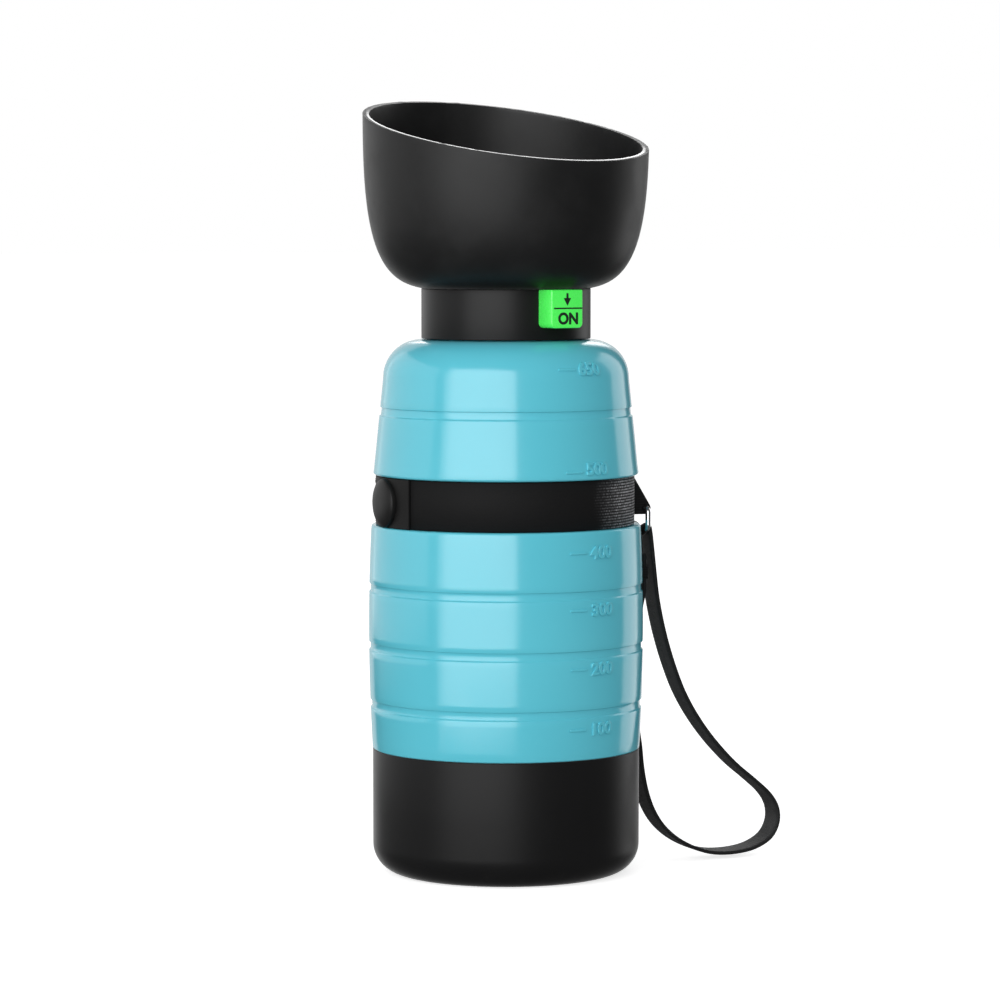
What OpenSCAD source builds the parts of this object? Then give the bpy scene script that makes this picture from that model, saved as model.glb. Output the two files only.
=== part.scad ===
// Squeeze bottle with a drinking bowl on its head, for walking a dog.
// Millimetres, +Z up. The origin is the middle of the foot, on the ground.
// The green push button, the low side of the bowl and the scale marks face -Y.
// An azimuth is turned from -Y towards +X.

/* [Base cup] */
// Outer radius of the base cup
base_r = 42.2; // [41.5:0.1:43]
// Height of the seam between base cup and bottle
seam_z = 39.7; // [38:0.1:42]
// Wall of the base cup
base_wall = 1.6; // [1.4:0.1:1.8]
// Thickness of the base cup's floor
base_floor = 2.4; // [1.6:0.1:4]
// Radius of the rounded lower edge of the base cup
base_fillet = 9.5; // [6:0.5:12]
// Height of the bottle's spigot inside the base cup
spigot_h = 10.8; // [10:0.1:12]

/* [Bottle] */
// Largest radius of the lower body
body_r = 43.4; // [43:0.1:44.5]
// Height at which the lower body is widest
body_wide_z = 78; // [70:1:86]
// Radius of the lower body's barrel curve, seen from the side
barrel_bow = 650; // [500:10:900]
// Height of the lower body above the seam
lower_h = 70.9; // [66:0.1:76]
// Radius of the waist that carries the belt
waist_r = 39.7; // [39:0.1:40.2]
// Height of the waist
waist_h = 15.7; // [14:0.1:18]
// Radius of the upper body at its lower lip
upper_r = 41.9; // [41:0.1:42.5]
// Radius of the upper body below the shoulder
shoulder_r = 38.8; // [37.5:0.1:39.5]
// Height of the upper body
upper_h = 42.6; // [38:0.1:46]
// Radius of the rounded shoulder
shoulder_fillet = 12; // [9:0.5:12]
// Wall of the bottle
wall = 1.8; // [1.4:0.1:2.2]
// Depth of the grip grooves
groove_d = 0.5; // [0.3:0.05:0.7]
// Height of the grip grooves
groove_h = 2.8; // [2:0.1:4]

/* [Neck] */
// Radius of the neck under its thread
neck_r = 23.2; // [22.5:0.1:23.8]
// Wall of the neck
neck_wall = 2.2; // [1.8:0.1:2.6]
// Height of the neck above the shoulder
neck_h = 7.3; // [7:0.1:8]
// Pitch of both threads
pitch = 3; // [2.8:0.1:3.2]
// Turns of each thread ridge
turns = 1.2; // [1:0.05:1.3]
// Height of a thread ridge
ridge_h = 1; // [0.7:0.05:1.1]
// Gap between a ridge's crest and the facing wall
thread_gap = 0.3; // [0.25:0.05:0.5]

/* [Cap] */
// Outer radius of the cap
cap_r = 26.7; // [26.4:0.1:27.5]
// Thickness of the neck gasket
gasket_t = 1.4; // [1:0.1:2]
// Thickness of the cap's lower deck
deck_t = 1.6; // [1.2:0.1:2]
// Height of the dry space for the button's arm
dry_h = 5.8; // [5.6:0.1:7]
// Wall round the dry space
dry_wall = 2; // [1.6:0.1:2.4]
// Thickness of the cap's upper deck
top_t = 1.8; // [1.4:0.1:2.4]
// Gap between the cap's lower edge and the shoulder
cap_gap = 0.3; // [0.2:0.1:1]

/* [Valve] */
// Radius of the valve bores
bore_r = 8; // [7.5:0.1:8.5]
// Radial running clearance of the sleeve in the bores
run_gap = 0.08; // [0.05:0.01:0.1]
// Inner radius of the valve sleeve
duct_r = 5; // [4:0.1:5.4]
// Thickness of the sleeve's arm
arm_t = 2.4; // [2:0.1:2.5]
// Width of the sleeve's arm
arm_w = 8; // [6:0.1:8.4]
// Radius of the O-rings' section
oring_r = 0.75; // [0.6:0.05:0.8]
// Height of the tower over the upper deck
tower_h = 6; // [5.5:0.1:8]

/* [Push button] */
// Width of the button
button_w = 11.8; // [11:0.1:13]
// Height of the button
button_h = 11.8; // [11:0.1:12.2]
// Distance of the button's face from the axis
button_face = 33.3; // [32.5:0.1:35]

/* [Bowl] */
// Outer radius of the bowl at its rim
bowl_r = 45.1; // [43:0.1:48]
// Height of the curve that the bowl's side follows
bowl_curve_h = 61.75; // [56:0.25:66]
// Thickness of the bowl's silicone
bowl_wall = 2; // [1.6:0.1:2.4]
// Height of the slanted rim above the bowl's underside, on the axis
rim_h = 49.7; // [44:0.1:54]
// Slant of the rim, in degrees, down towards the button
rim_slant = 12.7; // [0:0.1:15]

/* [Belt] */
// Thickness of the belt
belt_t = 1.1; // [0.8:0.1:1.2]
// Width of the belt, up and down
belt_w = 15.4; // [13.6:0.1:15.5]
// Thickness of the snap tab that lies over the belt
tab_t = 0.9; // [0.7:0.1:1.2]
// Radius of the snap's dome
dome_r = 7.55; // [7:0.05:7.6]
// Height of the snap's dome over the tab
dome_h = 2.2; // [2:0.1:3]

/* [Ring and strap] */
// Azimuth of the ring and the strap
ring_az = 77.3; // [74:0.1:82]
// Distance of the ring's middle from the lower body's side, at its widest
ring_out = 2.8; // [2.7:0.1:3.6]
// Radius of the ring's wire
wire_r = 0.9; // [0.7:0.05:1]
// Half of the ring's width, between the wires' middles
ring_half_w = 6.6; // [6.4:0.1:7.4]
// Height of the ring, between the wires' middles
ring_h = 8.6; // [8.2:0.1:9]
// Width of the webbing loop that holds the ring
loop_w = 9; // [7:0.1:9]
// Width of the hand strap
strap_w = 10; // [9:0.1:10.4]
// Thickness of the hand strap
strap_t = 1.2; // [1:0.1:1.2]

/* [Hidden] */

$fn = 96;
eps = 0.01;             // overlap that makes cuts clean
touch = 0.1;            // gap between faces that lie on each other
far = 400;              // larger than the whole object

// Heights, from the ground up
spigot_z = seam_z - spigot_h;
seal_t = 1.5;
seal_z = spigot_z - seal_t;
ledge_t = 2;
ledge_z = seam_z + lower_h;         // where the lower body ends and the waist starts
lip_z = ledge_z + waist_h;          // where the upper body starts
shoulder_z = lip_z + upper_h;
mouth_z = shoulder_z + neck_h;
deck_z = mouth_z + gasket_t;        // underside of the cap's lower deck
dry_z = deck_z + deck_t;            // floor of the dry space
top_z = dry_z + dry_h;              // top of the cap body, underside of the bowl
flange_z = top_z + top_t;           // top of the upper deck
tower_z = flange_z + tower_h;
cap_z = shoulder_z + cap_gap;

// Radii of the screwed joints
base_in_r = base_r - base_wall;
spigot_r = base_in_r - thread_gap - ridge_h;
ledge_in_r = spigot_r - 2.7;
skirt_in_r = neck_r + ridge_h + thread_gap;
ridge_base = 1.5;       // width of a ridge at its root
ridge_crest = 0.7;      // width of a ridge at its crest
ridge_sink = 0.3;       // how far a ridge reaches into its wall
thread_steps = 36;      // steps of a ridge in one turn

// Bottle details
body_edge = 0.8;        // rounding of the ledge and of the lip
grip_z = [54, 72.3, 90.75];
grip_upper_z = 146.25;
mark_z = [49.2, 68, 86.3, 104, 128.9, 160.5];
mark_w = 6.8;
mark_h = 0.6;
mark_rise = 0.4;
mark_az = -2.9;

// Valve
sleeve_r = bore_r - run_gap;
sleeve_low_z = mouth_z - 4.2;
boss_h = 3.6;           // the lower bore's boss under the deck
boss_wall = 2.5;
seat_z = tower_z + 1.2; // top of the sleeve when closed
arm_z = top_z - arm_t - 0.2;
oring_low_z = dry_z - 1.3;
oring_up_z = tower_z - 2.2;
tower_r = bore_r + 4;
cover_r = tower_r + 2;
cover_h = 5.2;          // clear height under the outlet cover's roof
cover_roof = 1.8;
window_gap = 0.2;

// Bowl seat
flange_r = cap_r - 0.8;
hem_r = tower_r + 5;    // hole in the bowl's floor
floor_z = flange_z + touch + bowl_wall;
retainer_t = 0.8 * bowl_wall;
retainer_r = hem_r + 1.8 * bowl_wall;

// Belt and snap
belt_in_r = waist_r + touch;
belt_r = belt_in_r + belt_t;
belt_z = (ledge_z + lip_z) / 2;
tab_in_r = belt_r + touch;
tab_r = tab_in_r + tab_t;
snap_az = -99.7;
tab_root_az = -124;
tab_end_az = -81.2;
belt_open_az = [-113, -109];
snap_hole_r = 4.5;

// Ring: the loop's wire and the strap's fold lie on one line up and down
ring_rho = body_r + ring_out;
ring_top_z = lip_z - 11.7;
ring_low_z = ring_top_z - ring_h;
ring_corner = 1.4;
bow_r = 9;              // radius of the ring's lower bow
loop_t = 1;

// The strap's middle line, as distance from the lower body's side and height, chosen by hand
strap_line = [[1.3, 88], [1.3, 94], [1.25, 100], [1, 106], [1.53, 107.27], [2.8, 107.8],
    [4.07, 107.27], [4.6, 106], [5.3, 101], [6.2, 94], [7.2, 86], [8.8, 78], [10.8, 70.5],
    [13.3, 63], [16.6, 55], [21.2, 47], [27.2, 39], [34.6, 31.2], [42.1, 25], [47.2, 20.4], [50, 15.8],
    [50.2, 10.8], [47.6, 6.2], [42.1, 3.2], [35.1, 2], [27.6, 2.2], [21.1, 4], [14.6, 7.4], [9.4, 12],
    [5.8, 17.6], [3.5, 24], [2.1, 31], [1.35, 38], [0.35, 46], [0.6, 60], [0.9, 73], [1.35, 82],
    [2.55, 88], [2.55, 94], [2.55, 99]];
strap_route = [for (p = strap_line) [p[0] + body_r, p[1]]];

// Points of an arc from angle a0 to a1 about (cx, cz)
function arc(cx, cz, r, a0, a1, n) =
    [for (i = [0:n]) let (a = a0 + (a1 - a0) * i / n) [cx + r * cos(a), cz + r * sin(a)]];

// Radius of the lower body, and of the upper body, at a height
function barrel(z) = body_r - barrel_bow + sqrt(pow(barrel_bow, 2) - pow(z - body_wide_z, 2));
function taper(z) = upper_r + (shoulder_r - upper_r) * (z - lip_z) / (upper_h - shoulder_fillet);

function barrel_wall(za, zb, n) = [for (i = [0:n]) let (z = za + (zb - za) * i / n) [barrel(z), z]];

// A grip groove's corners: a sharp upper step and a sloped lower one
function groove(z, r_low, r_up) = [[r_low, z - groove_h / 2], [r_low - groove_d, z - groove_h / 2 + groove_d],
    [r_up - groove_d, z + groove_h / 2 - eps], [r_up, z + groove_h / 2]];

function body_groove(z) = groove(z, barrel(z - groove_h / 2), barrel(z + groove_h / 2));

// Radius of the bowl's outside at a height over its underside: a steep side that rounds under
bowl_side = 6.15;
bowl_round = 3.17;
bowl_sink = 0.75;
function bowl_out(h) = let (u = max(0, 1 - (h + bowl_sink) / bowl_curve_h))
    bowl_r * pow(1 - pow(u, bowl_round), 1 / bowl_side);

// The bowl's inside, one wall's thickness square to the outside
function bowl_slope(h) = (bowl_out(h + 0.05) - bowl_out(h)) / 0.05;
function bowl_in(h) = let (s = bowl_slope(h), l = sqrt(1 + s * s))
    [bowl_out(h) - bowl_wall / l, h + bowl_wall * s / l];

// A point at azimuth az, distance rho and height z
function at(az, rho, z) = [rho * sin(az), -rho * cos(az), z];

// Turns a shape drawn in the X-Z plane, with X as distance from the axis, to azimuth az
module turned(az) { rotate([0, 0, az - 90]) children(); }

// Lays a shape that stands on +Z at azimuth az, pointing away from the axis
module radial(az, z) { translate([0, 0, z]) rotate([0, 0, az - 90]) rotate([0, 90, 0]) children(); }

module tube(r_out, r_in, z, h) {
    translate([0, 0, z]) difference() {
        cylinder(r = r_out, h = h);
        translate([0, 0, -1]) cylinder(r = r_in, h = h + 2);
    }
}

// Thread ridge: out = 1 stands out of a spigot, out = -1 stands in from a bore
module ridge(root_r, out, z, start) {
    n = round(turns * thread_steps);
    section = [[root_r - out * ridge_sink, -ridge_base / 2], [root_r + out * ridge_h, -ridge_crest / 2],
        [root_r + out * ridge_h, ridge_crest / 2], [root_r - out * ridge_sink, ridge_base / 2]];
    points = [for (i = [0:n], p = section) let (a = start + i * 360 / thread_steps)
        [p[0] * cos(a), p[0] * sin(a), z + p[1] + pitch * i / thread_steps]];
    sides = [for (i = [0:n - 1], j = [0:3]) let (a = 4 * i + j, b = 4 * i + (j + 1) % 4)
        out > 0 ? [a, b, b + 4, a + 4] : [b, a, a + 4, b + 4]];
    ends = out > 0 ? [[3, 2, 1, 0], [4 * n, 4 * n + 1, 4 * n + 2, 4 * n + 3]]
        : [[0, 1, 2, 3], [4 * n + 3, 4 * n + 2, 4 * n + 1, 4 * n]];
    polyhedron(points, concat(sides, ends), convexity = 6);
}

// Ridge at the middle of its seat, between z_low and z_high
function ridge_z(z_low, z_high) = (z_low + z_high - pitch * turns) / 2;

module base_cup() {
    color([0.07, 0.07, 0.07]) {
        rotate_extrude() polygon(concat(
            [[0, 0]], arc(base_r - base_fillet, base_fillet, base_fillet, -90, 0, 10),
            [[base_r, seam_z - touch], [base_in_r, seam_z - touch], [base_in_r, seal_z],
             [ledge_in_r, seal_z], [ledge_in_r, seal_z - ledge_t + 1], [base_in_r, seal_z - ledge_t - 1.6]],
            arc(base_r - base_fillet, base_fillet, base_fillet - base_floor, 0, -90, 8),
            [[0, base_floor]]));
        ridge(base_in_r, -1, ridge_z(spigot_z, seam_z), 180);
    }
}

module base_seal() {
    color([0.8, 0.8, 0.78]) tube(spigot_r - 0.4, ledge_in_r, seal_z, seal_t);
}

module bottle() {
    spigot_in_r = spigot_r - wall;
    g = groove_h / 2;
    fillet_z = shoulder_z - shoulder_fillet;
    outside = concat(
        [[0, spigot_z], [spigot_r - 0.6, spigot_z], [spigot_r, spigot_z + 0.6], [spigot_r, seam_z],
         [barrel(seam_z) - 0.3, seam_z]],
        barrel_wall(seam_z + 0.3, grip_z[0] - g - 2, 3), body_groove(grip_z[0]),
        barrel_wall(grip_z[0] + g + 2, grip_z[1] - g - 2, 3), body_groove(grip_z[1]),
        barrel_wall(grip_z[1] + g + 2, grip_z[2] - g - 2, 3), body_groove(grip_z[2]),
        barrel_wall(grip_z[2] + g + 2, ledge_z - body_edge - 1, 4),
        arc(barrel(ledge_z) - body_edge, ledge_z - body_edge, body_edge, 0, 90, 5),
        [[waist_r, ledge_z], [waist_r, lip_z]],
        arc(upper_r - body_edge, lip_z + body_edge, body_edge, -90, 0, 5),
        groove(grip_upper_z, taper(grip_upper_z - g), taper(grip_upper_z + g)),
        arc(shoulder_r - shoulder_fillet, fillet_z, shoulder_fillet, 4, 90, 14),
        [[neck_r, shoulder_z], [neck_r, mouth_z - 0.4], [neck_r - 0.4, mouth_z], [neck_r - neck_wall, mouth_z]]);
    inside = concat(
        [[neck_r - neck_wall, shoulder_z - wall]],
        arc(shoulder_r - shoulder_fillet, fillet_z, shoulder_fillet - wall, 90, 4, 10),
        [[upper_r - wall, lip_z + 4], [waist_r - wall, lip_z - 0.5], [waist_r - wall, ledge_z + 0.5],
         [barrel(ledge_z - 4) - wall - groove_d, ledge_z - 4]],
        [for (i = [0:6]) let (z = ledge_z - 10 - i * (lower_h - 16) / 6) [barrel(z) - wall - groove_d, z]],
        [[spigot_in_r, seam_z + 1], [spigot_in_r, spigot_z + 4]],
        arc(spigot_in_r - 2, spigot_z + wall + 2, 2, 0, -90, 4), [[0, spigot_z + wall]]);
    color([0.36, 0.76, 0.85]) {
        rotate_extrude($fn = 128) polygon(concat(outside, inside));
        ridge(neck_r, 1, ridge_z(shoulder_z, mouth_z), 0);
        ridge(spigot_r, 1, ridge_z(spigot_z, seam_z), 0);
        for (z = mark_z) scale_mark(z);
    }
}

// A raised line of the volume scale
module scale_mark(z) {
    r = z < ledge_z ? barrel(z) : z > shoulder_z - shoulder_fillet ? taper(z) - 0.9 : taper(z);
    radial(mark_az, z) translate([-mark_h / 2, -mark_w / 2, r - 1])
        cube([mark_h, mark_w, 1 + mark_rise]);
}

module neck_gasket() {
    color([0.8, 0.8, 0.78]) tube(neck_r, neck_r - neck_wall, mouth_z, gasket_t);
}

module cap_body() {
    color([0.09, 0.09, 0.09]) difference() {
        union() {
            rotate_extrude() polygon([[skirt_in_r, cap_z], [cap_r, cap_z], [cap_r, top_z],
                [cap_r - dry_wall, top_z], [cap_r - dry_wall, dry_z], [bore_r, dry_z],
                [bore_r, deck_z - boss_h], [bore_r + boss_wall, deck_z - boss_h], [bore_r + boss_wall, deck_z],
                [skirt_in_r, deck_z]]);
            ridge(skirt_in_r, -1, ridge_z(shoulder_z, mouth_z), 180);
        }
        // window for the button's arm, open at the top
        translate([-arm_w / 2 - window_gap, -cap_r - 1, dry_z])
            cube([arm_w + 2 * window_gap, dry_wall + 3, dry_h + 1]);
    }
}

module cap_top() {
    spigot = cap_r - dry_wall - touch;
    color([0.09, 0.09, 0.09]) {
        rotate_extrude() polygon([[bore_r, top_z], [flange_r, top_z], [flange_r, flange_z],
            [tower_r, flange_z], [tower_r, tower_z], [bore_r, tower_z]]);
        difference() {
            tube(spigot, spigot - 1.6, top_z - 1.2, 1.2 + eps);
            translate([-arm_w, -cap_r, top_z - 2]) cube([2 * arm_w, cap_r, 2]);
        }
    }
}

module valve_sleeve() {
    groove_w = 2 * oring_r + 0.2;
    root_r = bore_r - 2 * oring_r;
    color([0.85, 0.85, 0.85]) {
        rotate_extrude() polygon([[duct_r, sleeve_low_z], [sleeve_r, sleeve_low_z],
            [sleeve_r, oring_low_z - groove_w / 2], [root_r, oring_low_z - groove_w / 2],
            [root_r, oring_low_z + groove_w / 2], [sleeve_r, oring_low_z + groove_w / 2],
            [sleeve_r, arm_z], [sleeve_r + 3, arm_z], [sleeve_r + 3, arm_z + arm_t], [sleeve_r, arm_z + arm_t],
            [sleeve_r, oring_up_z - groove_w / 2], [root_r, oring_up_z - groove_w / 2],
            [root_r, oring_up_z + groove_w / 2], [sleeve_r, oring_up_z + groove_w / 2],
            [sleeve_r, seat_z], [duct_r, seat_z]]);
        translate([-arm_w / 2, -button_face + 2.4, arm_z]) cube([arm_w, button_face - 2.4 - sleeve_r, arm_t]);
    }
}

module o_ring(z) {
    color([0.1, 0.1, 0.1]) translate([0, 0, z]) rotate_extrude()
        translate([bore_r - oring_r - 0.02, 0]) circle(r = oring_r - 0.02, $fn = 24);
}

module sleeve_o_ring_lower() { o_ring(oring_low_z); }

module sleeve_o_ring_upper() { o_ring(oring_up_z); }

module push_button() {
    top = top_z - touch;
    corner = 1.3;
    shell = 1.5;
    slot = 0.05;
    color([0.2, 0.85, 0.3]) difference() {
        // seen from the front: square on top, rounded below
        translate([0, -cap_r + 4, top - button_h]) rotate([90, 0, 0])
            linear_extrude(height = button_face - cap_r + 4) union() {
                translate([-button_w / 2, corner]) square([button_w, button_h - corner]);
                translate([-button_w / 2 + corner, 0]) square([button_w - 2 * corner, corner + eps]);
                for (s = [-1, 1]) translate([s * (button_w / 2 - corner), corner]) circle(r = corner, $fn = 32);
            }
        translate([0, 0, top - button_h - 1]) cylinder(r = cap_r + 0.3, h = button_h + 2);
        // hollow below the arm's pocket, open at the back
        translate([-button_w / 2 + shell, -button_face + shell, top - button_h + shell])
            cube([button_w - 2 * shell, button_face - cap_r + 2, arm_z - top + button_h - 2 * shell]);
        translate([-arm_w / 2 - slot, -button_face + 2.4 - slot, arm_z - slot])
            cube([arm_w + 2 * slot, button_face - cap_r + 2, arm_t + 2 * slot]);
    }
}

module bowl() {
    samples = 26;
    top_h = rim_h + bowl_r * tan(rim_slant) + 2;
    step_h = [for (i = [0:samples]) top_h * pow(i / samples, 1.6)];
    hem_h = flange_z + touch - top_z;
    inner = [for (i = [samples:-1:0]) bowl_in(step_h[i])];
    outer = [for (h = step_h) [bowl_out(h), h]];
    color([0.11, 0.11, 0.11]) difference() {
        translate([0, 0, top_z]) rotate_extrude($fn = 128) polygon(concat(
            [[flange_r + touch, 0], [cap_r, 0]], [for (p = outer) if (p[0] > cap_r + 0.2) p],
            [for (p = inner) if (p[1] > hem_h + bowl_wall + 0.1 && p[0] > retainer_r) p],
            [[retainer_r + 1, hem_h + bowl_wall], [hem_r, hem_h + bowl_wall], [hem_r, hem_h],
             [flange_r + touch, hem_h]]));
        translate([0, 0, top_z + rim_h]) rotate([rim_slant, 0, 0])
            translate([-far / 2, -far / 2, 0]) cube([far, far, far]);
    }
}

module bowl_retainer() {
    edge = 0.6 / 1.6 * retainer_t;
    color([0.09, 0.09, 0.09]) rotate_extrude() polygon([[tower_r + 0.02, flange_z], [hem_r - touch, flange_z],
        [hem_r - touch, floor_z + touch], [retainer_r, floor_z + touch], [retainer_r, floor_z + touch + retainer_t - edge],
        [retainer_r - edge, floor_z + touch + retainer_t], [tower_r + 0.02, floor_z + touch + retainer_t]]);
}

module outlet_cover() {
    low = floor_z + 2 * touch + retainer_t;
    roof = seat_z + cover_h - 1.2;
    color([0.09, 0.09, 0.09]) difference() {
        rotate_extrude() polygon([[tower_r + 0.02, low], [cover_r, low], [cover_r, roof + cover_roof - 1.5],
            [cover_r - 1.5, roof + cover_roof], [0, roof + cover_roof], [0, roof], [2.5, roof], [2.5, seat_z + 1.8],
            [4, seat_z + 1.8], [4, roof], [tower_r + 0.02, roof]]);
        // six water windows over the tower
        for (i = [0:5]) rotate([0, 0, 60 * i]) translate([tower_r - 1, -2.6, tower_z + 0.4])
            cube([4, 5.2, roof - tower_z - 0.4]);
    }
}

module plug_seal() {
    roof = seat_z + cover_h - 1.2;
    color([0.85, 0.85, 0.85]) rotate_extrude() polygon([[0, seat_z + 0.02], [sleeve_r + 0.6, seat_z + 0.02],
        [sleeve_r + 0.6, seat_z + 1.7], [2.4, seat_z + 1.7], [2.4, roof - touch], [0, roof - touch]]);
}

module belt() {
    gap = belt_open_az[1] - belt_open_az[0];
    color([0.1, 0.1, 0.1]) difference() {
        tube(belt_r, belt_in_r, belt_z - belt_w / 2, belt_w);
        turned(belt_open_az[0]) translate([0, 0, belt_z - belt_w]) cube([belt_r * 2, belt_r * sin(gap), 2 * belt_w]);
        radial(snap_az, belt_z) cylinder(r = 1.3, h = belt_r + 5);
        radial(snap_az, belt_z) cylinder(r = 4.1, h = belt_in_r + 0.6);
    }
}

// A piece of a tube between two azimuths, with its free end's corners left square
module tube_piece(r_out, r_in, w, az_a, az_b) {
    span = az_b - az_a;
    translate([0, 0, belt_z - w / 2]) rotate([0, 0, az_a - 90])
        rotate_extrude(angle = span) translate([r_in, 0]) square([r_out - r_in, w]);
}

module belt_tab() {
    color([0.12, 0.12, 0.12]) difference() {
        tube_piece(tab_r, tab_in_r, belt_w, tab_root_az, tab_end_az);
        radial(snap_az, belt_z) cylinder(r = snap_hole_r, h = far);
    }
}

module snap_cap() {
    edge = 1.2;
    top = tab_r + dome_h;
    color([0.12, 0.12, 0.12]) difference() {
        radial(snap_az, belt_z) rotate_extrude() polygon(concat(
            [[0, tab_r - 2], [dome_r, tab_r - 2]], arc(dome_r - edge, top - edge - 0.3, edge, 0, 78, 6),
            arc(0, top - 52, 52, 84, 90, 3)));
        cylinder(r = tab_r + 0.05, h = far);
        radial(snap_az, belt_z) cylinder(r = snap_hole_r - 0.1, h = tab_r + 1.1);
    }
}

module snap_socket() {
    color([0.75, 0.75, 0.77]) radial(snap_az, belt_z) tube(snap_hole_r - 0.15, 2.75, belt_r + 0.6, tab_r + 1.05 - belt_r - 0.6);
}

module snap_stud() {
    color([0.75, 0.75, 0.77]) radial(snap_az, belt_z) difference() {
        rotate_extrude() polygon([[0, belt_r + 0.02], [3.8, belt_r + 0.02], [3.8, belt_r + 0.45], [1.9, belt_r + 0.45],
            [1.9, belt_r + 0.8], [2.2, belt_r + 1.1], [2.2, belt_r + 1.4], [1.8, belt_r + 1.7], [0, belt_r + 1.7]]);
        cylinder(r = 1.2, h = belt_r + 1);
    }
}

module snap_post() {
    color([0.75, 0.75, 0.77]) radial(snap_az, belt_z) rotate_extrude() polygon([[0, belt_in_r + 0.05],
        [3.9, belt_in_r + 0.05], [3.9, belt_in_r + 0.5], [1.15, belt_in_r + 0.5], [1.15, belt_r + 0.95],
        [0, belt_r + 0.95]]);
}

// Webbing loop: sewn flat on the belt, sloping out and round the ring's top bar, and back
module ring_loop() {
    hold = wire_r + 0.1;
    out_r = hold + loop_t;
    sewn = belt_r + touch;
    top = belt_z + belt_w / 2;
    color([0.1, 0.1, 0.1]) turned(ring_az) difference() {
        translate([0, loop_w / 2, 0]) rotate([90, 0, 0]) linear_extrude(height = loop_w) difference() {
            polygon(concat([[sewn - 1, top], [sewn + 0.4, top]], arc(ring_rho, ring_top_z, out_r, 30, -90, 8),
                [[sewn - 1, ring_top_z - out_r]]));
            translate([ring_rho, ring_top_z]) circle(r = hold, $fn = 48);
        }
        cylinder(r = sewn, h = far);
    }
}

// A bar of wire between two points of the ring's plane, given across and up
module wire(a, b) {
    d = b - a;
    translate([0, a[0], a[1]]) rotate([-atan2(d[0], d[1]), 0, 0]) cylinder(r = wire_r, h = norm(d), $fn = 32);
}

// A bend of wire about c, from angle a0 over a span, in the ring's plane
module bend(c, r, a0, span) {
    translate([0, c[0], c[1]]) rotate([90, 0, 90]) rotate([0, 0, a0])
        rotate_extrude(angle = span, $fn = 64) translate([r, 0]) circle(r = wire_r, $fn = 32);
}

// A weld where two stretches of wire meet
module weld(p) { translate([0, p[0], p[1]]) sphere(r = wire_r + 0.01, $fn = 32); }

module strap_ring() {
    w = ring_half_w - ring_corner;
    bow_a = asin(w / (bow_r - ring_corner));
    up = ring_top_z - ring_corner;
    low = ring_low_z + bow_r - (bow_r - ring_corner) * cos(bow_a);
    color([0.8, 0.8, 0.82]) turned(ring_az) translate([ring_rho, 0, 0]) {
        wire([-w, ring_top_z], [w, ring_top_z]);
        wire([-ring_half_w, low], [-ring_half_w, up]);
        wire([ring_half_w, low], [ring_half_w, up]);
        bend([w, up], ring_corner, 0, 90);
        bend([-w, up], ring_corner, 90, 90);
        bend([-w, low], ring_corner, 180, 90 - bow_a);
        bend([0, ring_low_z + bow_r], bow_r, -90 - bow_a, 2 * bow_a);
        bend([w, low], ring_corner, -90 + bow_a, 90 - bow_a);
        for (s = [-1, 1]) {
            weld([s * w, ring_top_z]);
            weld([s * ring_half_w, up]);
            weld([s * ring_half_w, low]);
            weld([s * bow_r * sin(bow_a), ring_low_z + bow_r * (1 - cos(bow_a))]);
        }
    }
}

// The strap's section: five points across each face, cupped to the ring's bow at the fold
strap_across = [-0.5, -0.25, 0, 0.25, 0.5];
cup_r = bow_r - wire_r - strap_t / 2;
function cup(t) = cup_r - sqrt(pow(cup_r, 2) - pow(t, 2));
function fade(z) = let (u = min(1, max(0, (z - ring_low_z + 14) / 12))) u * u * (3 - 2 * u);

function route_dir(i) = let (n = len(strap_route), a = strap_route[max(i - 1, 0)], b = strap_route[min(i + 1, n - 1)],
    d = b - a) d / norm(d);

module hand_strap() {
    n = len(strap_route);
    rows = [for (i = [0:n - 1]) let (p = strap_route[i], d = route_dir(i), side = [d[1], -d[0]] * strap_t / 2)
        concat([for (k = strap_across) [p[0] + side[0], k * strap_w, p[1] + side[1] + fade(p[1]) * cup(k * strap_w)]],
            [for (j = [4:-1:0]) let (k = strap_across[j])
                [p[0] - side[0], k * strap_w, p[1] - side[1] + fade(p[1]) * cup(k * strap_w)]])];
    points = [for (row = rows, p = row) p];
    sides = [for (i = [0:n - 2], j = [0:9], k = [0, 1]) let (a = 10 * i + j, b = 10 * i + (j + 1) % 10)
        k == 0 ? [a, b + 10, b] : [a, a + 10, b + 10]];
    first = [for (j = [0:3], k = [0, 1]) k == 0 ? [j, j + 1, 8 - j] : [j, 8 - j, 9 - j]];
    last = [for (f = first) [for (j = [2:-1:0]) f[j] + 10 * (n - 1)]];
    color([0.12, 0.12, 0.12]) turned(ring_az) polyhedron(points, concat(sides, first, last), convexity = 8);
}

// Sewn keeper round the strap's two ends, just under the ring
module strap_keeper() {
    z = 92;
    h = 4;
    t = 0.5;
    gap = 0.05;
    low = strap_route[1][0] - strap_t / 2 - gap;
    high = strap_route[38][0] + strap_t / 2 + gap;
    color([0.1, 0.1, 0.1]) turned(ring_az) translate([0, 0, z]) difference() {
        translate([low - t + 0.2, -strap_w / 2 - t, 0]) cube([high - low + 2 * t - 0.2, strap_w + 2 * t, h]);
        translate([low, -strap_w / 2 - gap, -1]) cube([high - low, strap_w + 2 * gap, h + 2]);
    }
}

base_cup();
base_seal();
bottle();
neck_gasket();
cap_body();
cap_top();
valve_sleeve();
sleeve_o_ring_lower();
sleeve_o_ring_upper();
push_button();
bowl();
bowl_retainer();
outlet_cover();
plug_seal();
belt();
belt_tab();
snap_cap();
snap_socket();
snap_stud();
snap_post();
ring_loop();
strap_ring();
hand_strap();
strap_keeper();
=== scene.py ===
"""Looks of a squeeze bottle with a drinking bowl on its head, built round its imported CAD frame."""

from math import asin, atan2, cos, degrees, dist, hypot, pi, radians, sin, sqrt, tan

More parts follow.
